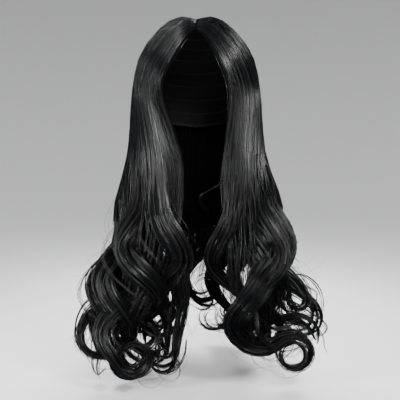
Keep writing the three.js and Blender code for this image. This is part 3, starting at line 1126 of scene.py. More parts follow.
@dataclass(frozen=True)
class Wisp:
    """A kind of loose wisp: how many a lock has, how far each strays from it, its half size and its strands.

    It strays by an amount of change, by a reach across the lock, and by a range of rise out of it.
    """

    count: int
    change: float
    across: float
    rise: tuple[float, float]
    size: float
    strands: int
    style: StrandStyle


WISPS = (
    Wisp(3, 1.4, 0.5, (0.2, 0.9), 1.6, 4, StrandStyle(0.85, 1.4, 0.7, 4, 0.2)),
    Wisp(6, 1.5, 0.6, (0.3, 1.1), 1.0, 1, StrandStyle(1.1, 3.0, 0.5, 1, 0.0, 0.3, 0.45, 0.8)),
)


@dataclass(frozen=True)
class LockSpread:
    """How far ribbons and wisps stray from their lock, and how a slack ribbon falls short of its curl.

    The first seven are usual changes of the lock's own sizes. A curl stands at its full depth from the amount
    of change in full_change.
    """

    chest: float = 2.5
    tip: float = 4.0
    end: float = 6.0
    swing: float = 0.1
    crest: float = 6.0
    curl: float = 0.08
    curl_radius: float = 0.1
    curl_depth: float = 0.3
    full_change: float = 0.4
    slack_end: tuple[float, float] = (-4.0, 18.0)
    slack_curl: tuple[float, float] = (0.6, 1.0)
    slack_radius: tuple[float, float] = (0.85, 1.2)


@dataclass(frozen=True)
class RibbonSplit:
    """How a lock splits into ribbons, fewer in a narrow lock than a broad one, and the mass in each ribbon.

    The two amounts of change are for a plain lock and for one that ends in an open ring.
    """

    broad: float = 16.0
    counts: tuple[int, int] = (3, 5)
    change: tuple[float, float] = (0.4, 0.12)
    turn: float = 24.0
    turn_growth: float = 1.6
    shift: tuple[float, float] = (-0.3, 0.35)
    apart: float = 0.72
    cover: float = 1.4
    deep: float = 0.56
    ring_depth: float = 0.13
    ring_round: float = 0.12
    core_from: float = 4.8
    core_swell: tuple[float, float] = (4.6, 0.9)
    core_share: float = 0.84
    core_along: tuple[float, ...] = (0.0, 0.8, 1.0)
    core_taper: tuple[float, ...] = (1.0, 0.9, 0.3)
    core_sides: int = 8
    core_turns: float = 14.0


@dataclass(frozen=True)
class FuzzStyle:
    """Short fine strands of a lock: where they start, how they rise and splay, their bend and length."""

    count: int = 14
    change: float = 0.5
    span: tuple[float, float] = (0.1, 0.95)
    rise: tuple[float, float] = (0.3, 0.7)
    inset: float = 0.8
    splay: tuple[float, float] = (0.35, 0.25)
    bend: tuple[float, float] = (16.0, 60.0)
    length: tuple[float, float] = (25.0, 80.0)
    samples: int = 11
    thick: float = 0.45


@dataclass(frozen=True)
class UnderStyle:
    """Strands behind the free locks: their samples down the sheet, depth, sway, end curl and kept length."""

    count: int = 40
    end: float = -426.0
    above: tuple[float, float, int] = (3.4, 5.0, 5)
    below: tuple[float, int] = (5.2, 12)
    depth: tuple[float, float] = (0.1, 0.8)
    clump: int = 4
    phase: float = 0.3
    sway: float = 3.6
    sway_pitch: float = 4.4
    sway_from: float = 4.2
    curl: float = 9.0
    curl_phase: float = 1.0
    curl_over: float = 0.5
    lean: float = 0.4
    keep: tuple[float, float] = (0.84, 1.0)
    thick: float = 1.2


@dataclass(frozen=True)
class BackingStyle:
    """The mass of the sheet of hair: its steps across a lock and down, overlap, thickness and uneven hem."""

    steps: int = 8
    above: tuple[float, float, int] = (0.04, 1.0, 6)
    below: tuple[float, int] = (1.25, 26)
    overlap: float = 0.66
    depth: tuple[float, float] = (-0.75, 0.4)
    thin_over: float = 1.2
    thin: tuple[float, float, float] = (1.0, 0.9, 0.04)
    hem: float = -366.0
    hem_rise: float = 22.0
    hem_drop: tuple[float, float] = (0.0, 0.35)
    hem_point: float = 0.2
    turns: float = 2.5


@dataclass(frozen=True)
class Tress:
    """A loose group of strands, laid along listed points.

    Fields are how far forward it starts and ends, its points across and up, its strands, its half size, and
    the share of that size at its start.
    """

    forward: tuple[float, float]
    points: tuple[tuple[float, float], ...]
    strands: int
    size: float
    top: float = 1.0


TRESSES = {
    ZoneName.FRONT_LEFT: (
        Tress((-92, -104), ((-100, -312), (-115, -320), (-129, -326), (-142, -341), (-145, -356),
              (-142, -373), (-134, -383)), 9, 2.0),
        Tress((-96, -108), ((-112, -338), (-122, -353), (-136, -371), (-151, -387), (-160, -409),
              (-160, -428), (-152, -445), (-140, -455), (-131, -457)), 16, 2.4),
        Tress((-98, -108), ((-118, -350), (-133, -373), (-146, -390), (-153, -410), (-152, -430),
              (-144, -446), (-133, -456)), 4, 1.2),
        Tress((-104, -114), ((-104, -372), (-115, -369), (-127, -373), (-136, -388), (-135, -413),
              (-138, -429), (-136, -451), (-128, -464)), 6, 1.4),
        Tress((-104, -116), ((-126, -400), (-131, -432), (-129, -452), (-131, -466),
              (-127, -479)), 14, 1.6),
        Tress((-104, -112), ((-132, -440), (-139, -456), (-138, -470), (-131, -477), (-122, -470),
              (-116, -463)), 7, 1.2),
        Tress((-98, -110), ((-112, -352), (-122, -374), (-128, -396), (-128, -418), (-123, -440),
              (-112, -456), (-100, -462)), 24, 5.5),
        Tress((-96, -112), ((-106, -360), (-114, -384), (-118, -408), (-114, -430), (-104, -446),
              (-92, -450)), 22, 5.5),
        Tress((-112, -120), ((-64, -352), (-50, -374), (-38, -394), (-33, -410), (-40, -424)), 20, 5.0),
        Tress((-108, -116), ((-96, -360), (-84, -382), (-70, -398), (-58, -410), (-54, -422)), 20, 5.0),
        Tress((-104, -112), ((-80, -350), (-68, -372), (-62, -390), (-68, -406), (-82, -414)), 20, 5.0),
        Tress((-100, -106), ((-66, -262), (-62, -292), (-60, -322), (-64, -348), (-74, -368)), 20, 9.0),
        Tress((-102, -108), ((-54, -262), (-51, -292), (-50, -322), (-53, -348), (-62, -368)), 20, 9.0),
        Tress((-104, -112), ((-122, -374), (-113, -398), (-106, -420), (-105, -440),
              (-110, -456)), 20, 6.5),
        Tress((-98, -104), ((-88, -368), (-74, -390), (-60, -410), (-48, -428), (-42, -446)), 24, 9.0),
        Tress((-96, -108), ((-118, -356), (-130, -376), (-137, -398), (-137, -420), (-131, -442),
              (-120, -458)), 18, 5.0),
        Tress((-110, -118), ((-104, -400), (-90, -422), (-74, -438), (-57, -444), (-44, -438)), 26, 9.0),
        Tress((-116, -120), ((-12, -425), (-14, -445), (-22, -460), (-34, -468), (-46, -466), (-52, -456),
              (-48, -446), (-36, -441)), 6, 1.3),
        Tress((-90, -97), ((-56, -352), (-62, -380), (-66, -404), (-69, -422), (-68, -436)), 26, 9.0, 0.2),
        Tress((-90, -97), ((-50, -364), (-43, -388), (-39, -414), (-38, -438), (-44, -456),
              (-56, -466)), 22, 6.5, 0.2),
        Tress((-94, -100), ((-38, -330), (-32, -352), (-29, -376), (-32, -400)), 16, 5.0, 0.2),
    ),
    ZoneName.SIDE_LEFT: (
        Tress((-72, -88), ((-86, -200), (-97, -245), (-105, -290), (-110, -334), (-106, -376), (-97, -404),
              (-99, -424)), 24, 8.0, 0.1),
    ),
    ZoneName.BACK: (
        Tress((62, 78), ((-76, -205), (-82, -252), (-86, -300), (-90, -345), (-82, -388), (-72, -416),
              (-74, -440), (-86, -448)), 26, 9.0, 0.1),
        Tress((62, 78), ((76, -205), (82, -252), (86, -300), (90, -345), (83, -388), (74, -416), (77, -440),
              (88, -446)), 26, 9.0, 0.1),
    ),
    ZoneName.SIDE_RIGHT: (
        Tress((-72, -88), ((86, -200), (97, -245), (105, -290), (111, -334), (107, -376), (98, -404),
              (100, -424)), 24, 8.0, 0.1),
    ),
    ZoneName.FRONT_RIGHT: (
        Tress((-104, -112), ((108, -350), (121, -344), (139, -342), (156, -353), (166, -370), (168, -387),
              (163, -402)), 7, 1.4),
        Tress((-108, -114), ((138, -352), (148, -357), (157, -361), (160, -368), (157, -380), (150, -387),
              (141, -388)), 4, 1.0),
        Tress((-108, -116), ((122, -374), (136, -381), (150, -392), (165, -402), (171, -411), (165, -420),
              (157, -419)), 10, 1.7),
        Tress((-110, -116), ((158, -405), (168, -424), (169, -436), (174, -447)), 3, 1.2),
        Tress((-92, -100), ((96, -280), (110, -291), (119, -296), (130, -299), (136, -297)), 8, 1.4),
        Tress((-92, -102), ((104, -306), (119, -316), (130, -322), (141, -333)), 4, 0.9),
        Tress((-106, -114), ((112, -372), (121, -376), (130, -381), (131, -390), (121, -397),
              (110, -396)), 12, 2.4),
        Tress((-106, -116), ((96, -408), (112, -399), (134, -394), (152, -401), (161, -416),
              (160, -432)), 20, 4.4),
        Tress((-98, -104), ((96, -342), (104, -362), (112, -380), (122, -394)), 16, 7.0),
        Tress((-102, -112), ((104, -400), (120, -400), (136, -404), (150, -414), (158, -428)), 18, 5.5),
        Tress((-120, -112), ((38, -214), (28, -223), (16, -229), (7, -234), (4, -241), (10, -252),
              (20, -260)), 5, 1.0),
    ),
}

RINGS = {ZoneName.FRONT_LEFT: (1, 5), ZoneName.FRONT_RIGHT: (4,)}


@dataclass
class Ribbon:
    """A part of a lock with a line of its own, its place across the lock, and its half sizes."""

    line: LockLine
    middle: float
    share: float
    flat: np.ndarray
    deep: np.ndarray


@dataclass
class HairZone:
    """One zone of hair: a dark mass of sheet and ribbons, strands over it, and loose wisps.

    The blend from sheet to free lock and the growth of bends have a start and a length, in knots. The bends
    of clumps and strands have a size and a length, in millimetres. Tones have a middle and a spread.
    """

    curtain: Curtain
    zone: Zone
    first: int
    rng: np.random.Generator
    limits: tuple[np.ndarray, np.ndarray]
    outer_strands: int = 21
    inner_strands: int = 5
    outer: StrandStyle = StrandStyle(0.85)
    inner: StrandStyle = StrandStyle(-0.7)
    drawn: StrandStyle = StrandStyle(0.85, 1.1, 1.0, 4, 0.3)
    spread: LockSpread = LockSpread()
    split: RibbonSplit = RibbonSplit()
    fuzz: FuzzStyle = FuzzStyle()
    under: UnderStyle = UnderStyle()
    backing: BackingStyle = BackingStyle()
    section: Section = Section()
    sample_step: float = 46.0
    sample_turn: float = 27.0
    lowest: float = -484.0
    lift_tries: int = 4
    lift_spare: float = 1.0
    gather_by: float = 0.8
    depth_spread: float = 0.06
    top_depth: float = 1.05
    free_blend: tuple[float, float] = (4.7, 1.1)
    clump_bends: tuple[float, float] = (1.2, 150.0)
    strand_bends: tuple[float, float] = (0.4, 70.0)
    bend_size: tuple[float, float] = (0.3, 0.8)
    bend_growth: tuple[float, float] = (4.3, 2.5)
    bend_stretch: tuple[float, float] = (0.7, 1.4)
    clump_tone: tuple[float, float] = (0.42, 0.24)
    strand_tone: float = 0.1
    fine_tone: tuple[float, float] = (0.4, 0.2)
    radius: float = 0.42
    radius_range: tuple[float, float] = (0.7, 1.2)
    taper_along: tuple[float, ...] = (0.0, 0.06, 0.6, 1.0)
    taper: tuple[float, ...] = (0.6, 1.0, 0.95, 0.3)
    ground: float = -486.0
    ground_lift: float = 0.9
    corner_up: float = 0.35
    loose_end: float = -470.0
    thin_along: tuple[float, ...] = (0.0, 0.3, 1.0)
    thin_tip: float = 0.5
    thin_share: float = 0.08
    tress_steps: int = 4
    tress_broad: float = 3.0
    tress_knots: tuple[float, float] = (6.0, 8.0)
    piece_triangles: int = 110_000

    def vary(self, lock: Lock, amount: float) -> Lock:
        """Makes a ribbon's or wisp's own version of a lock.

        Args:
            lock: the lock that it belongs to.
            amount: size of the changes.

        Returns:
            The lock with small changes.
        """
        n, spread = self.rng.normal, self.spread
        return replace(
            lock,
            chest=lock.chest + n(0, spread.chest) * amount,
            tip=lock.tip + n(0, spread.tip) * amount,
            end=lock.end + n(0, spread.end) * amount,
            swing=lock.swing * (1 + n(0, spread.swing) * amount),
            crest=lock.crest + n(0, spread.crest) * amount,
            curl=lock.curl * (1 + n(0, spread.curl) * amount),
            curl_radius=lock.curl_radius * (1 + n(0, spread.curl_radius) * amount),
            advance=lock.advance
            - self.rng.uniform(0.0, spread.curl_depth) * min(amount / spread.full_change, 1.0),
        )

    def slacken(self, lock: Lock) -> Lock:
        """Makes a lock's version that ends higher, in a part of a curl.

        Args:
            lock: a varied lock.

        Returns:
            The slack version.
        """
        u, spread = self.rng.uniform, self.spread
        return replace(
            lock,
            end=lock.end + u(*spread.slack_end),
            curl=lock.curl * u(*spread.slack_curl),
            curl_radius=lock.curl_radius * u(*spread.slack_radius),
        )

    def own_line(self, own: Lock) -> LockLine:
        """Lays out a line that keeps off the ground.

        Args:
            own: a varied lock.

        Returns:
            The sampled line.
        """
        for _ in range(self.lift_tries):
            line = self.curtain.line(self.zone, own, self.sample_step, self.sample_turn)
            under = self.lowest - float(line.points[:, 2].min())
            if under <= 0:
                break
            own = replace(own, end=own.end + under + self.lift_spare)
        return line

    def ribbons(self, lock: Lock, ring: bool) -> list[Ribbon]:
        """Splits a lock into ribbons side by side, which part towards their tips.

        Args:
            lock: the lock.
            ring: whether the lock ends in an open ring.

        Returns:
            The ribbons. All of a ring, and every second one otherwise, have the lock's whole curl.
        """
        split, made = self.split, []
        parts = split.counts[lock.wide > split.broad]
        for j in range(parts):
            own = self.vary(lock, split.change[ring])
            if ring:
                aside = 2 * j / (parts - 1) - 1
                radius = own.curl_radius * (1 - split.ring_round * aside * aside)
                own = replace(own, advance=split.ring_depth * aside, curl_radius=radius)
            elif j % 2 == 0:
                own = self.slacken(own)
            line = self.own_line(own)
            flat, deep = self.section.sizes(lock, line.along)
            middle = (j + 0.5) / parts - 0.5
            turn = math.radians(self.rng.normal(0, split.turn))
            turn = turn * smooth(line.along * split.turn_growth)[:, None]
            axis = line.flat * np.cos(turn) + line.deep * np.sin(turn)
            line.deep = line.deep * np.cos(turn) - line.flat * np.sin(turn)
            shift = self.rng.uniform(*split.shift)
            line.points = line.points + axis * (2 * middle * split.apart * flat)[:, None]
            line.points = line.points + line.deep * (shift * deep)[:, None]
            line.flat = axis
            made.append(Ribbon(line, middle, 1.0 / parts, flat * split.cover / parts, deep * split.deep))
        return made

    def strands(self, index: int, ribbon: Ribbon, count: int, style: StrandStyle, mesh: StrandMesh) -> None:
        """Adds strands that run in the sheet of hair above and round a ribbon below.

        Args:
            index: the lock, counted round the curtain.
            ribbon: the ribbon that the strands keep to.
            count: number of strands.
            style: how they lie.
            mesh: where they go.
        """
        rng, line = self.rng, ribbon.line
        place = (np.arange(count) + rng.uniform(0, 1, count)) / count - 0.5
        clump = np.arange(count) // style.clump
        groups = int(clump[-1]) + 1
        centre = (np.bincount(clump, place) / np.bincount(clump))[clump]
        pull = style.gather * smooth(line.along / self.gather_by)
        spread = centre[:, None] + (place - centre)[:, None] * (1.0 - pull)
        depth = style.depth + rng.normal(0, style.relief, groups)[clump]
        depth = depth + rng.normal(0, self.depth_spread, count)
        level = np.minimum(depth, self.top_depth)
        sheet = self.curtain.sheet(index, line.share, ribbon.middle + place * ribbon.share, level)
        side = np.sin(np.pi * spread) * ribbon.flat
        face = depth[:, None] * np.cos(np.pi * spread) * ribbon.deep
        free = line.points + side[..., None] * line.flat + face[..., None] * line.deep
        blend = smooth((line.share - self.free_blend[0]) / self.free_blend[1])[None, :, None]
        paths = sheet * (1.0 - blend) + free * blend
        paths = paths + self.frizz(line, groups, style.loose, self.clump_bends)[clump]
        paths = paths + self.frizz(line, count, style.loose, self.strand_bends)
        paths = self.shorten(paths, rng.uniform(style.keep, style.most, count))
        tone = rng.normal(*self.clump_tone, groups)[clump] + rng.normal(0, self.strand_tone, count)
        if style.clump == 1:
            paths = self.kept(paths)
        self.lay(paths, style.thick, tone[: len(paths)], mesh)

    def kept(self, paths: np.ndarray) -> np.ndarray:
        """Leaves out loose strands that stray too far.

        Args:
            paths: points of the strands.

        Returns:
            The strands within the limits.
        """
        low, high = self.limits
        inside = np.all((paths > low) & (paths < high), axis=(1, 2))
        return paths[inside & (paths[..., 2].min(axis=1) > self.loose_end)]

    def lay(self, paths: np.ndarray, thick: float, tone: np.ndarray, mesh: StrandMesh) -> None:
        """Gives strands their thickness and adds them, lifted where they would run into the ground.

        Args:
            paths: points of the strands.
            thick: share of the usual thickness.
            tone: a tone for each strand.
            mesh: where they go.
        """
        taper = np.interp(np.linspace(0, 1, paths.shape[1]), self.taper_along, self.taper)
        radius = thick * self.radius * taper[None] * self.rng.uniform(*self.radius_range, (len(paths), 1))
        sunk = np.minimum(paths[..., 2] - self.ground, 0.0)
        paths = paths - np.stack([0 * sunk, 0 * sunk, self.ground_lift * sunk], axis=-1)
        mesh.add(paths, radius, np.clip(tone, 0, 1), np.array([*self.zone.out, self.corner_up]))

    def shorten(self, paths: np.ndarray, share: np.ndarray) -> np.ndarray:
        """Ends each strand a little early, so that the tips aren't level.

        Args:
            paths: points of the strands.
            share: how much of its length each strand keeps.

        Returns:
            Points along the kept lengths.
        """
        last = paths.shape[1] - 1
        at = np.linspace(0, last, last + 1)[None] * share[:, None]
        low = np.clip(np.floor(at).astype(int), 0, last - 1)
        within = (at - low)[..., None]
        rows = np.arange(len(paths))[:, None]
        return paths[rows, low] * (1 - within) + paths[rows, low + 1] * within

    def frizz(self, line: LockLine, count: int, loose: float, bends: tuple[float, float]) -> np.ndarray:
        """Works out small loose bends.

        Args:
            line: the line that the strands keep to.
            count: number of strands or clumps.
            loose: how loose they are.
            bends: usual size and length of a bend.

        Returns:
            Offsets, a row for each strand or clump.
        """
        size, length = bends
        start, over = self.bend_growth
        grow = size * loose * (self.bend_size[0] + self.bend_size[1] * smooth((line.share - start) / over))
        total = np.zeros((count, len(line.points), 3))
        for axis in (line.flat, line.deep):
            phase = self.rng.uniform(0, 2 * np.pi, (count, 1))
            stretch = length * self.rng.uniform(*self.bend_stretch, (count, 1))
            wave = np.sin(2 * np.pi * line.run[None] / stretch + phase)
            total += (wave * grow)[..., None] * axis
        return total

    def thin_ribbon(self, line: LockLine, middle: float, size: float, top: float = 1.0) -> Ribbon:
        """Makes a narrow round ribbon along a line, of a half size that starts at a share of it."""
        thin = size * np.interp(line.along, self.thin_along, (top, 1.0, self.thin_tip))
        return Ribbon(line, middle, self.thin_share, thin, thin)

    def wisp_ribbon(self, lock: Lock, wisp: Wisp) -> Ribbon:
        """Makes the narrow ribbon of a wisp that strays from its lock.

        Args:
            lock: the lock.
            wisp: the kind of wisp.

        Returns:
            The ribbon.
        """
        own = self.vary(lock, wisp.change)
        middle, rise = self.rng.uniform(-wisp.across, wisp.across), self.rng.uniform(*wisp.rise)
        line = self.own_line(own)
        flat, deep = self.section.sizes(own, line.along)
        line.points = line.points + line.flat * (2 * middle * flat)[:, None]
        line.points = line.points + line.deep * (rise * deep)[:, None]
        return self.thin_ribbon(line, middle, wisp.size)

    def lock_strands(self, index: int, lock: Lock, core: LoftMesh, mesh: StrandMesh) -> None:
        """Adds the ribbons, strands and loose wisps of one lock.

        Args:
            index: the lock, counted round the curtain.
            lock: the lock.
            core: where the ribbons' mass goes.
            mesh: where the strands go.
        """
        ring = index - self.first in RINGS.get(self.zone.name, ())
        for ribbon in self.ribbons(lock, ring):
            self.ribbon_core(ribbon, core)
            self.strands(index, ribbon, self.outer_strands, self.outer, mesh)
            self.strands(index, ribbon, self.inner_strands, self.inner, mesh)
        for wisp in WISPS:
            for _ in range(wisp.count):
                self.strands(index, self.wisp_ribbon(lock, wisp), wisp.strands, wisp.style, mesh)
        self.short_fuzz(lock, mesh)
        self.under_layer(index, mesh)

    def short_fuzz(self, lock: Lock, mesh: StrandMesh) -> None:
        """Adds short fine strands that bend away from a lock.

        Args:
            lock: the lock.
            mesh: where they go.
        """
        rng, style, count = self.rng, self.fuzz, self.fuzz.count
        line = self.own_line(self.vary(lock, style.change))
        flat, deep = self.section.sizes(lock, line.along)
        free = np.flatnonzero((line.along > style.span[0]) & (line.along < style.span[1]))
        at = rng.choice(free, count)
        sides = rng.uniform(-1, 1, (2, count, 1))
        across, above = sides[0], np.abs(sides[1])
        start = line.points[at] + line.flat[at] * across * flat[at, None]
        rise = style.rise[0] + style.rise[1] * above
        start = start + line.deep[at] * rise * deep[at, None] * style.inset
        way = unit(np.gradient(line.points, axis=0))[at]
        way = unit(way + style.splay[0] * line.flat[at] * across + style.splay[1] * line.deep[at] * above)
        aside = rng.normal(size=(count, 3))
        aside = unit(aside - np.sum(aside * way, axis=1, keepdims=True) * way)
        bend = rng.uniform(*style.bend, (count, 1))
        turn = np.linspace(0, 1, style.samples)[None] * rng.uniform(*style.length, (count, 1)) / bend
        ahead, away = bend * np.sin(turn), bend * (1 - np.cos(turn))
        paths = start[:, None] + ahead[..., None] * way[:, None] + away[..., None] * aside[:, None]
        paths = self.kept(paths)
        self.lay(paths, style.thick, rng.normal(*self.fine_tone, len(paths)), mesh)

    def hand_laid(self, tress: Tress, core: LoftMesh, mesh: StrandMesh) -> None:
        """Adds a loose group of strands along its own points.

        Args:
            tress: the group.
            core: where its mass goes, if it is broad.
            mesh: where its strands go.
        """
        count = len(tress.points)
        at = np.linspace(0, count - 1, self.tress_steps * (count - 1) + 1)
        x, z = np.array(tress.points).T
        points = spline(np.stack([x, np.linspace(*tress.forward, count), z], axis=-1), at)
        _, flat, deep = line_axes(points, self.zone.axes[1])
        run = arc_lengths(points)
        line = LockLine(points, np.linspace(*self.tress_knots, len(at)), flat, deep, run / run[-1], run)
        ribbon = self.thin_ribbon(line, 0.0, tress.size, tress.top)
        if tress.size > self.tress_broad:
            self.ribbon_core(ribbon, core)
        self.strands(self.first, ribbon, tress.strands, self.drawn, mesh)

    def under_layer(self, index: int, mesh: StrandMesh) -> None:
        """Adds strands that stay in the sheet behind the free locks and end unevenly about its hem.

        Args:
            index: the lock, counted round the curtain.
            mesh: where they go.
        """
        rng, style, count = self.rng, self.under, self.under.count
        end = self.level_share(style.end)
        share = np.concatenate([np.linspace(*style.above), np.linspace(style.below[0], end, style.below[1])])
        low, high = self.reach(index)
        place = low + (high - low) * (np.arange(count) + rng.uniform(0, 1, count)) / count
        paths = self.curtain.sheet(index, share, place, rng.uniform(*style.depth, count))
        across, out = self.zone.axes
        clump = np.arange(count) // style.clump
        phase = rng.uniform(0, 2 * np.pi, count // style.clump + 1)[clump, None]
        phase = phase + rng.normal(0, style.phase, (count, 1))
        sway = np.sin(share[None] * style.sway_pitch + phase) * style.sway
        sway = sway * smooth(share - style.sway_from)[None]
        last = np.clip((share - end + style.curl_over) / style.curl_over, 0, 1)[None] ** 2
        curl = style.curl * np.sin(phase + style.curl_phase) * last
        paths = paths + (sway + curl)[..., None] * (across + style.lean * out)
        paths = self.shorten(paths, rng.uniform(*style.keep, count))
        self.lay(paths, style.thick, rng.normal(*self.fine_tone, count), mesh)

    def reach(self, index: int) -> tuple[float, float]:
        """Finds how far a lock's part of the sheet runs to each side, a little over the next zone's.

        Args:
            index: the lock, counted round the curtain.

        Returns:
            Both ends of its part, in shares of the way to the next lock.
        """
        last = self.first + len(self.zone.rows) - 1
        low = self.backing.overlap if index == self.first and index > 0 else 0.5
        high = self.backing.overlap if index == last and index < len(self.curtain.locks) - 1 else 0.5
        return -low, high

    def level_share(self, height: float) -> float:
        """Finds where a height below the chin lies along the guides, in knots."""
        knots = self.curtain.chin_knot + np.arange(len(self.curtain.levels))
        return float(np.interp(-height, [-level for level in self.curtain.levels], knots))

    def sheet_core(self, mesh: LoftMesh) -> None:
        """Adds the mass of the sheet of hair from the part down to its uneven hem.

        Args:
            mesh: where it goes.
        """
        style, last = self.backing, len(self.zone.rows) - 1
        half, chin = style.steps // 2, self.curtain.chin_knot
        places = [(i, s / style.steps) for i in range(last + 1) for s in range(-half, half)]
        places[0] = (0, self.reach(self.first)[0])
        places.append((last, self.reach(self.first + last)[1]))
        end = self.level_share(max(self.zone.hem + style.hem_rise, style.hem))
        share = np.concatenate([np.linspace(*style.above), np.linspace(style.below[0], end, style.below[1])])
        thin = np.interp(share, (0, end - style.thin_over, end), style.thin)
        order = np.arange(len(places))
        count = len(order) // 2 + 1
        drop = np.interp(order / 2, order[:count], self.rng.uniform(*style.hem_drop, count))
        drop = drop + style.hem_point * (order % 2)
        inner, outer = [], []
        for (i, s), rise in zip(places, drop):
            own = share - rise * smooth((share - chin) / (end - chin))
            low, high = self.curtain.sheet(self.first + i, own, np.array([s, s]), np.array(style.depth))
            middle = (low + high) / 2
            inner.append(middle + (low - middle) * thin[:, None])
            outer.append(middle + (high - middle) * thin[:, None])
        rings = np.stack(inner + outer[::-1], axis=1)
        runs = arc_lengths(np.stack(outer, axis=1)[:, len(places) // 2])
        mesh.add(rings, runs, np.concatenate([order, order[::-1]]) * style.turns)

    def ribbon_core(self, ribbon: Ribbon, mesh: LoftMesh) -> None:
        """Adds the mass of one ribbon.

        Args:
            ribbon: the ribbon.
            mesh: where it goes.
        """
        line, split = ribbon.line, self.split
        keep, (start, over) = line.share > split.core_from, split.core_swell
        angles = np.arange(split.core_sides) / split.core_sides * 2 * np.pi
        swell = split.core_share * smooth((line.share[keep] - start) / over)
        swell = swell * np.interp(line.along[keep], split.core_along, split.core_taper)
        sizes = ribbon.flat[keep] * swell, ribbon.deep[keep] * swell
        rings = oval_rings(line.points[keep], (line.flat[keep], line.deep[keep]), sizes, angles)
        turns = np.abs(np.linspace(-1, 1, split.core_sides)) * split.core_turns
        mesh.add(rings, line.run[keep], turns)

    def build(self, fibre: Finish, mass: Finish) -> list[bpy.types.Object]:
        """Builds the zone's mass and strands.

        Args:
            fibre: the strands' finish.
            mass: the finish of the mass behind them.

        Returns:
            The new pieces.
        """
        name = self.zone.name.value
        core, meshes = LoftMesh(name + "_mass"), [StrandMesh(name + "_strands_1")]
        self.sheet_core(core)
        for i, lock in enumerate(self.zone.locks):
            if meshes[-1].triangles > self.piece_triangles:
                meshes.append(StrandMesh(f"{name}_strands_{len(meshes) + 1}"))
            self.lock_strands(self.first + i, lock, core, meshes[-1])
        for tress in TRESSES.get(self.zone.name, ()):
            self.hand_laid(tress, core, meshes[-1])
        LOG.info("%s: %d triangles", core.name, core.triangles)
        for mesh in meshes:
            LOG.info("%s: %d strands, %d triangles", mesh.name, len(mesh.rings), mesh.triangles)
        return [core.build(mass.material())] + [mesh.build(fibre.material()) for mesh in meshes]


@dataclass(frozen=True)
class Lamp:
    """A soft light: its name, place, size in metres, power and how wide it shines in degrees."""

    name: str
    place: tuple[float, float, float]
    size: float
    watts: float
    spread: float = 180.0

    def hang(self, aim: Vector) -> None:
        """Puts the light in the scene.

        Args:
            aim: the point that it faces.
        """
        data = bpy.data.lights.new(self.name, "AREA")
        data.size, data.energy, data.spread = self.size, self.watts, math.radians(self.spread)
        lamp = bpy.data.objects.new(self.name, data)
        lamp.location = self.place
        lamp.rotation_euler = (aim - Vector(self.place)).to_track_quat("-Z", "Y").to_euler()
        bpy.context.scene.collection.objects.link(lamp)


LAMPS = (
    Lamp("key", (-1.3, -1.0, 0.05), 0.4, 29.0),
    Lamp("fill", (0.9, -1.1, 0.95), 0.45, 25.0),
    Lamp("front", (0.2, -1.4, 0.7), 0.5, 12.0),
    Lamp("back_right", (0.45, 1.5, 0.45), 0.6, 7.0, 64.0),
    Lamp("back_left", (-0.45, 1.5, 0.45), 0.6, 7.0, 64.0),
)


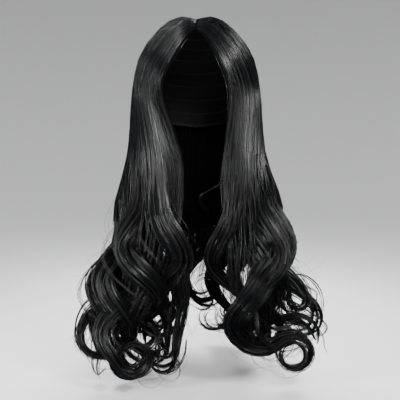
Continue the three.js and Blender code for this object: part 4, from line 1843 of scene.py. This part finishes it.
@dataclass
class Studio:
    """Camera, pale paper bowl, and soft lights."""

    focal_px: float = 827.0
    frame_px: float = 400.0
    sensor_mm: float = 36.0
    camera_at: tuple[float, float, float] = (5.2, -1185.0, -148.0)
    pitch: float = 5.0
    floor_drop: float = 2.0
    floor_flat: float = 0.7
    floor_bend: float = 1.7
    wall_top: float = 3.4
    floor_columns: int = 96
    floor_middle: float = 0.25
    bend_steps: int = 24
    clip_end: float = 50.0
    sky_colour: tuple[float, float, float, float] = (0.9, 0.95, 1.0, 1.0)
    sky_strength: float = 0.18
    aim: Vector = field(default_factory=lambda: Vector((0.0, 0.0, -0.2)))

    def build(self, lowest: float) -> None:
        """Builds the studio.

        Args:
            lowest: height of the lowest hair, in metres.
        """
        self.camera()
        self.floor(lowest - self.floor_drop * MM)
        self.lights()

    def camera(self) -> None:
        """Places the camera at the picture's angle."""
        data = bpy.data.cameras.new("camera")
        data.sensor_width = self.sensor_mm
        data.lens = self.focal_px / self.frame_px * self.sensor_mm
        data.clip_end = self.clip_end
        camera = bpy.data.objects.new("camera", data)
        camera.location = Vector(self.camera_at) * MM
        camera.rotation_euler = (math.radians(90.0 - self.pitch), 0.0, 0.0)
        bpy.context.scene.collection.objects.link(camera)
        bpy.context.scene.camera = camera

    def floor(self, height: float) -> None:
        """Builds the floor, which bends up all round into a wall.

        Args:
            height: the floor's height in metres.
        """
        bend = [(self.floor_flat + self.floor_bend * math.sin(a), self.floor_bend * (1 - math.cos(a)))
                for a in np.linspace(0, math.pi / 2, self.bend_steps)]
        wall = self.floor_flat + self.floor_bend, self.wall_top
        profile, wide = np.array([(self.floor_middle, 0.0), *bend, wall]), self.floor_columns
        angles = np.arange(wide) / wide * 2 * np.pi
        ring = np.stack([np.cos(angles), np.sin(angles)], axis=-1)
        heights = np.broadcast_to(profile[:, None, 1:], (len(profile), wide, 1))
        grid = np.concatenate([profile[:, None, :1] * ring, heights], axis=-1).reshape(-1, 3)
        verts = np.vstack([grid, [[0.0, 0.0, 0.0]]]) + np.array([0.0, 0.0, height])
        here = np.arange(wide)
        tris = np.stack([np.full(wide, len(grid)), here, (here + 1) % wide], axis=-1)
        mesh = mesh_from_arrays("floor", verts, ring_quads(len(profile), wide), tris)
        floor = link_mesh(mesh, PaperFinish().material())
        floor.visible_glossy = False
        floor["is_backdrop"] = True

    def lights(self) -> None:
        """Hangs the soft lights."""
        world = bpy.data.worlds.new("studio")
        world.use_nodes = True
        sky = world.node_tree.nodes["Background"].inputs
        sky["Color"].default_value, sky["Strength"].default_value = self.sky_colour, self.sky_strength
        bpy.context.scene.world = world
        for lamp in LAMPS:
            lamp.hang(self.aim)


def dress(piece: bpy.types.Object, node: str) -> None:
    """Fixes a piece to the wig in place of a solid.

    Args:
        piece: the new piece.
        node: the solid that it stands for.
    """
    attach(piece, "root")
    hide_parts(node)
    LOG.info("%s stands for %s", piece.name, node)


def main() -> None:
    """Builds the wig's pieces in order and the studio round them."""
    logging.basicConfig(level=logging.INFO, format="%(message)s")
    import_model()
    cad_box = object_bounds()
    for piece in Cap().build(NetFinish(), BandFinish()):
        dress(piece, "cap")
    curtain = Curtain()
    limits = np.array(cad_box[0]) / MM - STRAY, np.array(cad_box[1]) / MM + STRAY
    first = 0
    for number, zone in enumerate(ZONES):
        hair = HairZone(curtain, zone, first, np.random.default_rng(SEED + number), limits)
        for piece in hair.build(FibreFinish(), MassFinish()):
            dress(piece, zone.name.value)
        first += len(zone.rows)
    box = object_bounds()
    Studio().build(box[0].z)
    LOG.info("visual box %s %s", [round(x, 3) for x in box[0]], [round(x, 3) for x in box[1]])


if __name__ == "__main__":
    main()
